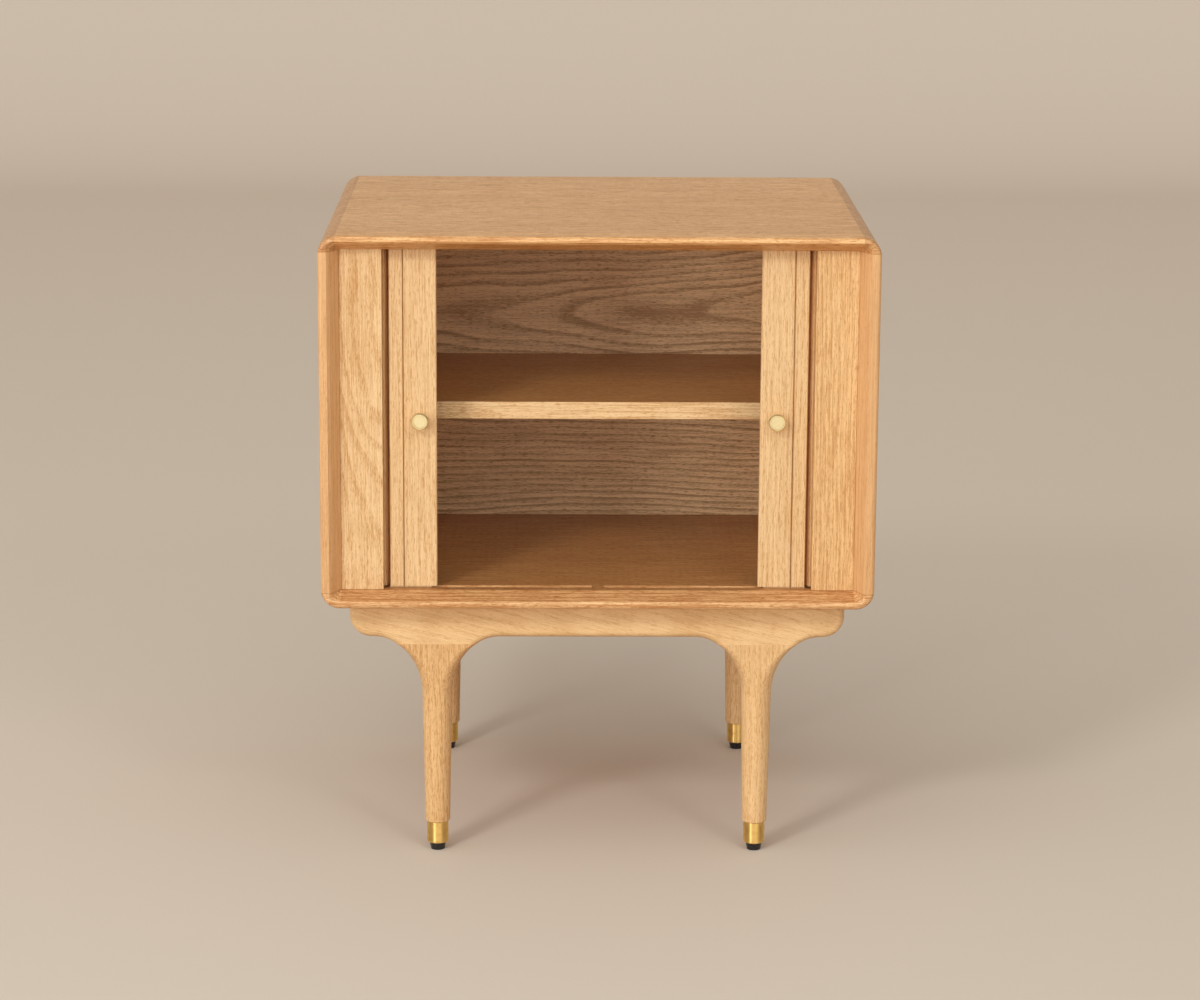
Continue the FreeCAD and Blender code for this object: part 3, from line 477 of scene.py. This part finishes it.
def make_board():
    tree, given, result = new_group(
        "oak_board",
        {"Grain": "", "Trunk": "", "Pale": (0.8, 0.55, 0.3, 1.0), "Dark": (0.5, 0.3, 0.14, 1.0),
         "Ring Width": 0.0035, "Heart Y": 0.0, "Heart Z": 0.06, "Tilt": 0.05, "Bend": 0.004,
         "Figure": 0.5, "Pores": 0.5, "Streak": 0.5, "Curl": 0.0},
        {"Color": (0.8, 0.8, 0.8, 1.0), "Roughness": 0.5, "Height": 0.0})
    trunk = given["Trunk"]
    log = use_group(tree, OAK_LOG, {label: given[label] for label in (
        "Grain", "Trunk", "Ring Width", "Heart Y", "Heart Z", "Tilt", "Bend")})
    pores = use_group(tree, OAK_PORES, {"Grain": trunk, "Early": log["Early"],
                                        "Amount": given["Pores"]})
    fibre = remap(tree, pores["Fibre"], 0.40, 0.64)
    dash = math_node(tree, "MULTIPLY", pores["Dashes"], given["Pores"])
    marks = {"ring": math_node(tree, "MULTIPLY", log["Shade"], given["Figure"]),
             "fibre": math_node(tree, "MULTIPLY", fibre, given["Streak"]),
             "late": math_node(tree, "MULTIPLY", log["Late"], given["Figure"]),
             "drift": remap(tree, noise(tree, trunk, DRIFT_WAVES), 0.3, 0.7),
             "dash": dash}
    curl = math_node(tree, "SUBTRACT", noise(tree, trunk, CURL_WAVES, 1.0, 0.4), 0.5)
    shade = math_node(tree, "MULTIPLY", curl, given["Curl"])
    for mark, weight in SHADE_WEIGHTS.items():
        weighted = math_node(tree, "MULTIPLY", marks[mark], weight)
        last = mark == "dash"
        shade = math_node(tree, "ADD", shade, weighted, clamp=last)
    tree.links.new(blend_colours(tree, shade, given["Pale"], given["Dark"]), result["Color"])
    rough = remap(tree, dash, 0.0, 1.0, LACQUER_ROUGH, PORE_ROUGH, smooth=False)
    tree.links.new(rough, result["Roughness"])
    sunk = math_node(tree, "MULTIPLY", dash, PORE_DEPTH)
    raised = math_node(tree, "MULTIPLY", pores["Fibre"], FIBRE_HEIGHT)
    tree.links.new(math_node(tree, "ADD", sunk, raised), result["Height"])
    return tree


OAK_BOARD = make_board()
print("board sockets:", len(OAK_BOARD.interface.items_tree))

# %% [markdown]
# Some boards aren't one colour all over. The level surfaces inside the case are painted darker
# and redder than the front, as painted shade, the top has a strip of its own glued along its
# front, its rounded ends show end grain, which takes up more oil, and a glued joint shows as a
# hairline. The bottom's front edge also gets a painted highlight on its nose and painted shade
# on its slope. All of these are a tint inside a box, so one small group does them.

# %% A tint inside a box
ZONE_BORDER = 0.0002


def make_zone():
    tree, given, result = new_group(
        "zone_tint", {"Where": "", "Low": "", "High": "", "Color": (0.8, 0.8, 0.8, 1.0),
                      "Tint": (1.0, 1.0, 1.0, 1.0)}, {"Color": (0.8, 0.8, 0.8, 1.0)})
    above = vector_node(tree, "SUBTRACT", given["Where"], given["Low"])
    below = vector_node(tree, "SUBTRACT", given["High"], given["Where"])
    x, y, z = split(tree, vector_node(tree, "MINIMUM", above, below))
    inside = math_node(tree, "MINIMUM", x, math_node(tree, "MINIMUM", y, z))
    share = remap(tree, inside, -ZONE_BORDER, ZONE_BORDER)
    tree.links.new(blend_colours(tree, share, given["Color"], given["Tint"], "MULTIPLY"),
                   result["Color"])
    return tree


ZONE_TINT = make_zone()
print("zone sockets:", len(ZONE_TINT.interface.items_tree))

# %% [markdown]
# ## One material for each board
# The parts share the groups, but each board gets its own stretch of trunk, so no two look
# alike. A board's length is turned onto the log's X and its width onto the log's Y with a
# Mapping node, which also moves the board's middle to the origin. So the heart of the log is
# given as seen from the middle of the board: how far across, and how far behind the face. The
# finishes differ in their two colours: the case is a little redder, the doors paler. The sides
# of the slats are painted darker than the faces, as painted shade for the gaps between slats.
# They are told by which way the surface faces on the object.

# %% Oak for one part
CASE_TONES = ((0.90, 0.550, 0.260, 1.0), (0.55, 0.235, 0.070, 1.0))
DOOR_TONES = ((0.97, 0.690, 0.370, 1.0), (0.62, 0.320, 0.110, 1.0))
LEVEL_TONES = ((0.97, 0.610, 0.295, 1.0), (0.56, 0.245, 0.075, 1.0))
LEG_TONES = ((0.96, 0.635, 0.305, 1.0), (0.64, 0.330, 0.115, 1.0))
BASE_TONES = ((1.00, 0.700, 0.360, 1.0), (0.72, 0.400, 0.155, 1.0))
INNER_TONES = ((1.00, 0.735, 0.420, 1.0), (0.46, 0.260, 0.115, 1.0))
# Painted shade for the gaps between slats: a slat's sides are multiplied by this colour.
GAP_SHADE = (0.74, 0.62, 0.52, 1.0)
GAP_SHADE_FROM, GAP_SHADE_TO = 0.50, 0.70
WOOD_RELIEF = (0.35, 0.0002)
WAYS = {"x": Vector((1, 0, 0)), "y": Vector((0, 1, 0)), "z": Vector((0, 0, 1))}


def oak(name, part, tones, along, across, trunk, ring, heart, tilt, bend, figure, pores, streak,
        curl=0.0, lean=0.0, zones=(), shaded_sides=None):
    """Lacquered oak for a part, whose grain runs one way and whose width runs another.
    Each zone is a low corner, a high corner and the colour that tints the oak between them."""
    rows = (WAYS[along], WAYS[across], WAYS[along].cross(WAYS[across]))
    turn = Matrix.Rotation(lean, 3, "Z") @ Matrix(rows)
    low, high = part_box(part)
    material, tree, skin = new_material(name)
    where = own_place(tree)
    lay = tree.nodes.new("ShaderNodeMapping")
    lay.inputs["Rotation"].default_value = turn.to_euler()
    lay.inputs["Location"].default_value = -(turn @ ((low + high) / 2))
    tree.links.new(where["Object"], lay.inputs["Vector"])
    grain = lay.outputs["Vector"]
    board = use_group(tree, OAK_BOARD, {
        "Grain": grain,
        "Trunk": vector_node(tree, "ADD", grain, (trunk, trunk / 3, trunk / 7)),
        "Pale": tones[0], "Dark": tones[1], "Ring Width": ring, "Heart Y": heart[0],
        "Heart Z": heart[1], "Tilt": tilt, "Bend": bend, "Figure": figure, "Pores": pores,
        "Streak": streak, "Curl": curl})
    colour = board["Color"]
    for zone_low, zone_high, tint in zones:
        colour = use_group(tree, ZONE_TINT, {
            "Where": where["Object"], "Color": colour, "Low": zone_low, "High": zone_high,
            "Tint": tint + (1.0,)})["Color"]
    # Painted shade: the sides of a slat, which face the given way, are darkened for the gaps.
    if shaded_sides is not None:
        gap_facing = vector_node(tree, "DOT_PRODUCT", where["Normal"], shaded_sides)
        share = remap(tree, math_node(tree, "ABSOLUTE", gap_facing), GAP_SHADE_FROM, GAP_SHADE_TO)
        colour = blend_colours(tree, share, colour, GAP_SHADE, "MULTIPLY")
    tree.links.new(colour, skin["Base Color"])
    tree.links.new(board["Roughness"], skin["Roughness"])
    skin["Coat Weight"].default_value = 0.3
    skin["Coat Roughness"].default_value = 0.22
    skin["Specular IOR Level"].default_value = 0.4
    add_bump(tree, skin, board["Height"], *WOOD_RELIEF)
    return material


print("tones:", len((CASE_TONES, DOOR_TONES, LEVEL_TONES, LEG_TONES, BASE_TONES, INNER_TONES)))

# %% [markdown]
# ## The case
# The grain runs along each board: across the top and bottom, and up the sides. The top and
# bottom reach over the ends of the sides, and the rounded corner is cut into them, so a hairline
# marks where they meet. The bottom's front edge is painted three ways: a painted highlight on
# the nose below, painted shade on the slope inside the mouth, and painted shade on the floor
# behind it.

# %% Case boards
WIDE = 1.0
CEILING = 0.566
FLOOR_TOP = 0.254
# Lowest height of the painted shade on the inner floor.
INSIDE_SHADE_LOW = 0.2536
JOINT = 0.0007
GLUE_FRONT, LIPPING, GLUE_REAR = -0.1714, -0.171, -0.1704
ROUND_START = 0.2345
MOUTH = -0.183
NOSE = -0.1985
NOSE_TOP = 0.2505
SLOPE_HALF = 0.232
SLOPE_LOW = 0.2468
# Painted highlight on the front of the bottom's nose.
NOSE_HIGHLIGHT = (1.06, 1.09, 1.13)
PALE_STRIP = (1.04, 1.02, 0.95)
# Painted shade on the slope inside the mouth.
SLOPE_SHADE = (0.80, 0.72, 0.64)
HAIRLINE = (0.72, 0.62, 0.52)
# Painted shade: the level surfaces inside the case, the floor and the shelf's top, are painted
# darker and redder.
INSIDE_SHADE = (0.62, 0.51, 0.36)
SHELF_SHADE = (0.57, 0.44, 0.27)
END_GRAIN = (0.80, 0.75, 0.71)
FAR_CORNER = (WIDE, WIDE, WIDE)

dress("top_panel", oak(
    "top_oak", "top_panel", LEVEL_TONES, "x", "y", trunk=0.0, ring=0.0042, heart=(0.9, 0.10),
    tilt=0.02, bend=0.0009, figure=0.5, pores=0.9, streak=1.25, zones=[
        ((-WIDE, -WIDE, CEILING), (WIDE, LIPPING, WIDE), PALE_STRIP),
        ((-WIDE, -WIDE, CEILING), (-ROUND_START, WIDE, WIDE), END_GRAIN),
        ((ROUND_START, -WIDE, CEILING), FAR_CORNER, END_GRAIN),
        ((-WIDE, GLUE_FRONT, CEILING), (WIDE, GLUE_REAR, WIDE), HAIRLINE)]))
dress("bottom_panel", oak(
    "bottom_oak", "bottom_panel", LEVEL_TONES, "x", "y", trunk=1.3, ring=0.0046,
    heart=(0.8, 0.08), tilt=0.02, bend=0.0009, figure=0.45, pores=0.9, streak=1.2, zones=[
        ((-WIDE, -WIDE, 0.0), (WIDE, NOSE, NOSE_TOP), NOSE_HIGHLIGHT),
        ((-WIDE, MOUTH, INSIDE_SHADE_LOW), FAR_CORNER, INSIDE_SHADE),
        ((-SLOPE_HALF, NOSE, SLOPE_LOW), (SLOPE_HALF, MOUTH, WIDE), SLOPE_SHADE)]))
for side, trunk in (("left", 2.1), ("right", 3.4)):
    part = side + "_side_panel"
    dress(part, oak(
        side + "_side_oak", part, CASE_TONES, "z", "y", trunk, ring=0.005, heart=(0.7, 0.15),
        tilt=0.03, bend=0.003, figure=0.25, pores=0.35, streak=0.5, zones=[
            ((-WIDE, -WIDE, 0.0), (WIDE, WIDE, FLOOR_TOP + JOINT), HAIRLINE),
            ((-WIDE, -WIDE, CEILING - JOINT), FAR_CORNER, HAIRLINE)]))
dress("rear_panel", oak(
    "rear_oak", "rear_panel", CASE_TONES, "x", "z", trunk=4.2, ring=0.006, heart=(0.05, 0.05),
    tilt=0.12, bend=0.006, figure=0.6, pores=0.5, streak=0.4))
print("case boards dressed")

# %% [markdown]
# ## The inside
# The back of the compartments shows the strongest figure: wide arches above the shelf and
# nearly straight lines below it. Both are one board cut close to the log's heart. A small
# tilt between the board and the log makes the arches long. The shelf's top gets the same
# painted shade as the floor, but for its front edge.

# %% Inner boards
SHELF_FRONT = -0.1256
SHELF_LOW = 0.390

dress("inner_back_panel", oak(
    "inner_back_oak", "inner_back_panel", INNER_TONES, "x", "z", trunk=5.0, ring=0.0064,
    heart=(0.053, 0.045), tilt=0.075, bend=0.005, figure=0.95, pores=0.85, streak=0.65))
dress("shelf", oak(
    "shelf_oak", "shelf", DOOR_TONES, "x", "y", trunk=5.9, ring=0.004, heart=(0.6, 0.08),
    tilt=0.02, bend=0.003, figure=0.4, pores=0.8, streak=0.9, zones=[
        ((-WIDE, SHELF_FRONT, SHELF_LOW), FAR_CORNER, SHELF_SHADE)]))
for side, trunk in (("left", 6.2), ("right", 7.3)):
    part = side + "_liner"
    dress(part, oak(
        part + "_oak", part, CASE_TONES, "z", "y", trunk, ring=0.006, heart=(0.3, 0.06),
        tilt=0.06, bend=0.004, figure=0.4, pores=0.4, streak=0.5))
print("inner boards dressed")

# %% [markdown]
# ## Doors and stiles
# The slats are sawn from straight-grained oak and stand upright. Slats of one door come from
# one board, so their grain runs on from slat to slat; the two doors differ. The slats turn as
# they follow the track round the corner of the case, so the sides that get painted shade for
# the gaps face another way on each one. The lead slat gets no painted shade on its sides.

# %% Slats and stiles
# None: the lead slat's sides get no painted shade.
SLAT_TURNS = {"lead_slat": None, "slat_2": 0.0, "slat_3": 30.0, "slat_4": 60.0,
              "middle_slats": 90.0, "slat_14": 90.0, "tail_slats": 90.0}

for side, trunk, out in (("left", 8.1, -1.0), ("right", 9.7, 1.0)):
    for piece, turn in SLAT_TURNS.items():
        sides = None
        if turn is not None:
            angle = math.radians(turn)
            sides = Vector((math.cos(angle), out * math.sin(angle), 0.0))
        node = side + "_" + piece
        dress(node, oak(
            node + "_oak", side + "_lead_slat", DOOR_TONES, "z", "x", trunk, ring=0.005,
            heart=(0.6, 0.1), tilt=0.02, bend=0.0035, figure=0.2, pores=0.6, streak=0.6,
            shaded_sides=sides))
dress("left_stile", oak(
    "left_stile_oak", "left_stile", DOOR_TONES, "z", "x", trunk=11.3, ring=0.0045,
    heart=(0.02, 0.05), tilt=0.05, bend=0.006, figure=0.35, pores=0.7, streak=0.7, curl=0.5))
dress("right_stile", oak(
    "right_stile_oak", "right_stile", LEG_TONES, "z", "x", trunk=12.4, ring=0.004,
    heart=(0.4, 0.05), tilt=0.02, bend=0.003, figure=0.5, pores=0.8, streak=1.1))
print("doors dressed, slat pieces:", 2 * len(SLAT_TURNS))

# %% [markdown]
# ## Base
# The aprons lie across, the legs stand upright, and the joint between them shows because the
# grain turns there. The apron's grain leans a little, so its rings cross the edge as slanting
# waves. The dowels are hidden and share the rear apron's wood.

# %% Aprons, rails and legs
CORNERS = ("front_left", "front_right", "rear_left", "rear_right")

dress("front_apron", oak(
    "front_apron_oak", "front_apron", BASE_TONES, "x", "z", trunk=13.1, ring=0.0085,
    heart=(0.25, 0.04), tilt=0.10, bend=0.006, figure=0.10, pores=0.6, streak=0.5, curl=0.8,
    lean=0.25))
dress("rear_apron", oak(
    "rear_apron_oak", "rear_apron", BASE_TONES, "x", "z", trunk=14.6, ring=0.008,
    heart=(0.2, 0.04), tilt=0.10, bend=0.006, figure=0.4, pores=0.5, streak=0.5))
for side, trunk in (("left", 15.2), ("right", 16.8)):
    dress(side + "_side_rail", oak(
        side + "_rail_oak", side + "_side_rail", BASE_TONES, "y", "z", trunk, ring=0.006,
        heart=(0.2, 0.06), tilt=0.03, bend=0.004, figure=0.3, pores=0.5, streak=0.5))
for i, corner in enumerate(CORNERS):
    part = corner + "_leg"
    tones, streak = (LEG_TONES, 0.6) if "left" in corner else (BASE_TONES, 0.45)
    dress(part, oak(
        part + "_oak", part, tones, "z", "x", trunk=17.0 + 1.3 * i, ring=0.0042,
        heart=(0.16 - 0.02 * i, 0.07), tilt=0.04, bend=0.004, figure=0.25, pores=0.8,
        streak=streak, curl=0.2))
for node in ("case_dowels", "rail_dowels"):
    dress(node, nodes["rear_apron"].data.materials[0])
print("base dressed, legs:", len(CORNERS))

# %% [markdown]
# ## Metal, rubber and cloth
# The ferrules and knobs are brushed brass. The brushing is noise pressed flat in one direction,
# and it sets both how matt the metal is and its fine relief. A ferrule is brushed round its axis
# on a lathe, so its lines run level and spread each highlight up and down, which the shader's
# anisotropy does. A knob's face is nearly plain.

# %% Brass
def make_brushing():
    """Fine lines along one direction, with a slow patchiness like light wear."""
    tree, given, result = new_group("brushing", {"Lines": "", "Depth": 0.5},
                                    {"Roughness": 0.3, "Height": 0.0, "Patch": 0.0})
    lines = noise(tree, given["Lines"], 1.0, 3.0, 0.6)
    patch = noise(tree, own_place(tree)["Object"], 180.0, 3.0, 0.55)
    rough = math_node(tree, "ADD", remap(tree, lines, 0.3, 0.7, 0.28, 0.42, smooth=False),
                      remap(tree, patch, 0.4, 0.7, 0.0, 0.07))
    tree.links.new(rough, result["Roughness"])
    tree.links.new(math_node(tree, "MULTIPLY", lines, given["Depth"]), result["Height"])
    tree.links.new(remap(tree, patch, 0.35, 0.75), result["Patch"])
    return tree


BRUSHING = make_brushing()


def brass(name, stretch, bright, dull, depth, lathe):
    """Brushed brass whose lines run at right angles to the largest stretch."""
    material, tree, skin = new_material(name)
    lines = tree.nodes.new("ShaderNodeMapping")
    lines.inputs["Scale"].default_value = stretch
    tree.links.new(own_place(tree)["Object"], lines.inputs["Vector"])
    marks = use_group(tree, BRUSHING, {"Lines": lines.outputs["Vector"], "Depth": depth})
    tree.links.new(blend_colours(tree, marks["Patch"], bright, dull), skin["Base Color"])
    tree.links.new(marks["Roughness"], skin["Roughness"])
    skin["Metallic"].default_value = 1.0
    if lathe:
        skin["Anisotropic"].default_value = 0.95
        skin["Anisotropic Rotation"].default_value = 0.25
    add_bump(tree, skin, marks["Height"], 0.2, 0.0001)
    return material


ferrule_brass = brass("ferrule_brass", (60.0, 60.0, 6000.0), (0.98, 0.66, 0.22, 1.0),
                      (0.88, 0.56, 0.17, 1.0), 0.6, lathe=True)
knob_brass = brass("knob_brass", (900.0, 400.0, 900.0), (1.0, 0.86, 0.50, 1.0),
                   (0.96, 0.80, 0.44, 1.0), 0.3, lathe=False)
for corner in CORNERS:
    dress(corner + "_ferrule", ferrule_brass)
for node in ("left_knob", "right_knob", "shelf_pins"):
    dress(node, knob_brass)
print("brushing sockets:", len(BRUSHING.interface.items_tree))

# %% [markdown]
# The feet are black rubber, a little scuffed, and the screws are zinc-plated steel. One recipe
# serves both: fine noise makes the colour paler and the surface duller here and there.

# %% Rubber and steel
def gritty(name, colour, rough, metallic, speckle):
    """A plain finish with a fine uneven surface."""
    material, tree, skin = new_material(name)
    grit = noise(tree, own_place(tree)["Object"], speckle, 3.0, 0.6)
    paler = tuple(min(1.0, channel * 1.7 + 0.008) for channel in colour[:3]) + (1.0,)
    tree.links.new(blend_colours(tree, remap(tree, grit, 0.45, 0.8), colour, paler),
                   skin["Base Color"])
    tree.links.new(remap(tree, grit, 0.3, 0.7, rough - 0.06, rough + 0.1), skin["Roughness"])
    skin["Metallic"].default_value = metallic
    add_bump(tree, skin, grit, 0.15, 0.0002)
    return material


rubber = gritty("black_rubber", (0.012, 0.012, 0.013, 1.0), 0.24, 0.0, 700.0)
steel = gritty("zinc_steel", (0.52, 0.52, 0.54, 1.0), 0.34, 1.0, 900.0)
for corner in CORNERS:
    dress(corner + "_foot_glide", rubber)
for node in ("back_panel_screws", "base_screws", "left_knob_screw", "right_knob_screw"):
    dress(node, steel)
print("parts without a material:", [name for name in nodes if not nodes[name].data.materials])

# %% [markdown]
# The cloth behind the slats is a plain woven canvas, whose two sets of threads are two wave
# patterns. It follows the cloth's own flat coordinates, in metres, so the weave turns with it.

# %% Canvas material
THREADS = 5200.0
CANVAS_DEEP = (0.24, 0.15, 0.08, 1.0)
CANVAS_HIGH = (0.50, 0.36, 0.22, 1.0)

door_canvas, canvas_tree, canvas_skin = new_material("door_canvas")
flat = canvas_tree.nodes.new("ShaderNodeUVMap")
flat.uv_map = "cloth"
threads = []
for across in split(canvas_tree, flat.outputs["UV"])[:2]:
    wave = math_node(canvas_tree, "SINE", math_node(canvas_tree, "MULTIPLY", across, THREADS))
    threads.append(remap(canvas_tree, wave, -1.0, 1.0))
weave = math_node(canvas_tree, "MULTIPLY", threads[0], threads[1])
slub = remap(canvas_tree, noise(canvas_tree, flat.outputs["UV"], (90.0, 900.0, 1.0)),
             0.3, 0.7, 0.55, 1.0)
shade = math_node(canvas_tree, "MULTIPLY", weave, slub)
canvas_tree.links.new(blend_colours(canvas_tree, shade, CANVAS_DEEP, CANVAS_HIGH),
                      canvas_skin["Base Color"])
canvas_skin["Roughness"].default_value = 0.9
canvas_skin["Sheen Weight"].default_value = 0.2
add_bump(canvas_tree, canvas_skin, weave, 0.5, 0.0002)
print("canvas nodes:", len(canvas_tree.nodes))

# %% [markdown]
# ## Cloth behind the slats
# On the real door one piece of canvas is glued to the backs of all the slats, and it bends at
# the gaps. The doors here are rigid groups that turn against each other, so the canvas is cut
# at the same hinge lines and each strip travels with its own slats. A strip is a grid, given a
# thin thickness away from the slats. It lies a hair's breadth behind them, and ends a little
# short of each hinge line, so that two strips don't meet where the door bends. The left door's
# strips are the right one's in a mirror.

# %% Canvas strips
CANVAS_THICK = 0.0005
GLUE_GAP = 0.00005
HINGE_SLIT = 0.0005
PITCH = 0.0132
CELL = 0.005
CELLS_HIGH = 48
FIRST_HINGE = Vector((0.1887, -0.1675, 0.0))
cloth_low, cloth_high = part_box("right_canvas_backing")


def canvas_plan():
    """Each strip's name and body, where it starts, its turn in plan and its length, from the
    leading edge to the tail."""
    first = Vector((cloth_low.x, FIRST_HINGE.y, 0.0))
    yield "front", "door", first, 0.0, FIRST_HINGE.x - first.x
    point = FIRST_HINGE
    for name, turn, slats in (("slat_3", 30.0, 1), ("slat_4", 60.0, 1), ("run", 90.0, 9),
                              ("tail_1", 90.0, 1), ("tail_2", 90.0, 2)):
        turn = math.radians(turn)
        yield name, name, point, turn, slats * PITCH
        point = point + slats * PITCH * Vector((math.cos(turn), math.sin(turn), 0.0))


def canvas_strip(side, name, body, start, turn, long):
    """A flat strip of canvas from a hinge line, behind the slats of one body."""
    long -= 2 * HINGE_SLIT
    tall = cloth_high.z - cloth_low.z
    mesh = bmesh.new()
    bmesh.ops.create_grid(mesh, x_segments=max(1, round(long / CELL)), y_segments=CELLS_HIGH,
                          size=0.5)
    to_place = (Matrix.Translation((start.x, start.y, cloth_low.z))
                @ Matrix.Rotation(turn, 4, "Z") @ Matrix.Translation((HINGE_SLIT, GLUE_GAP, 0.0))
                @ Matrix.Rotation(math.pi / 2, 4, "X")
                @ Matrix.Diagonal((long, tall, 1.0, 1.0)) @ Matrix.Translation((0.5, 0.5, 0.0)))
    cloth = mesh.loops.layers.uv.new("cloth")
    for face in mesh.faces:
        for loop in face.loops:
            loop[cloth].uv = ((loop.vert.co.x + 0.5) * long, (loop.vert.co.y + 0.5) * tall)
    bmesh.ops.transform(mesh, matrix=to_place, verts=mesh.verts[:])
    if side == "left":
        bmesh.ops.scale(mesh, vec=(-1.0, 1.0, 1.0), verts=mesh.verts[:])
        bmesh.ops.reverse_faces(mesh, faces=mesh.faces[:])
    data = bpy.data.meshes.new(side + "_canvas_" + name)
    mesh.to_mesh(data)
    mesh.free()
    strip = bpy.data.objects.new(side + "_canvas_" + name, data)
    bpy.context.scene.collection.objects.link(strip)
    strip.data.materials.append(door_canvas)
    thickness = strip.modifiers.new("thickness", "SOLIDIFY")
    thickness.thickness = CANVAS_THICK
    thickness.offset = -1.0
    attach(strip, side + "_" + body)
    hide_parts(side + "_canvas_backing")


for side in ("left", "right"):
    for name, body, start, turn, long in canvas_plan():
        canvas_strip(side, name, body, start, turn, long)

# %% [markdown]
# ## Softened edges
# A real board is never sharp: sandpaper breaks each edge by a few tenths of a millimetre, and
# that thin round catches the light. Here live modifiers do it. The frame's meshes are loose
# triangles, so a Weld joins them, a planar Decimate clears the flat faces, and a Bevel rounds
# what is left.

# %% Break the edges
BOARD_EDGE = 0.0006
SLAT_EDGE = 0.0002
WELD_REACH = 0.00001


def break_edges(node, radius):
    part = nodes[node]
    weld = part.modifiers.new("join", "WELD")
    weld.merge_threshold = WELD_REACH
    clear = part.modifiers.new("clear_flats", "DECIMATE")
    clear.decimate_type = "DISSOLVE"
    clear.angle_limit = math.radians(1.0)
    bevel = part.modifiers.new("soft_edge", "BEVEL")
    bevel.width = radius
    bevel.segments = 2
    bevel.limit_method = "ANGLE"
    bevel.angle_limit = math.radians(30.0)
    bevel.harden_normals = True


for node in ("left_stile", "right_stile", "shelf", "left_liner", "right_liner",
             "inner_back_panel"):
    break_edges(node, BOARD_EDGE)
for side in ("left", "right"):
    for piece in ("slat_3", "slat_4", "middle_slats", "slat_14", "tail_slats"):
        break_edges(side + "_" + piece, SLAT_EDGE)
print("softened parts:", len([o for o in nodes.values() if o.modifiers]))

# %% [markdown]
# ## Finish
# The colours are shown as they are written, so the view transform is Standard.

# %% View
bpy.context.scene.view_settings.view_transform = "Standard"
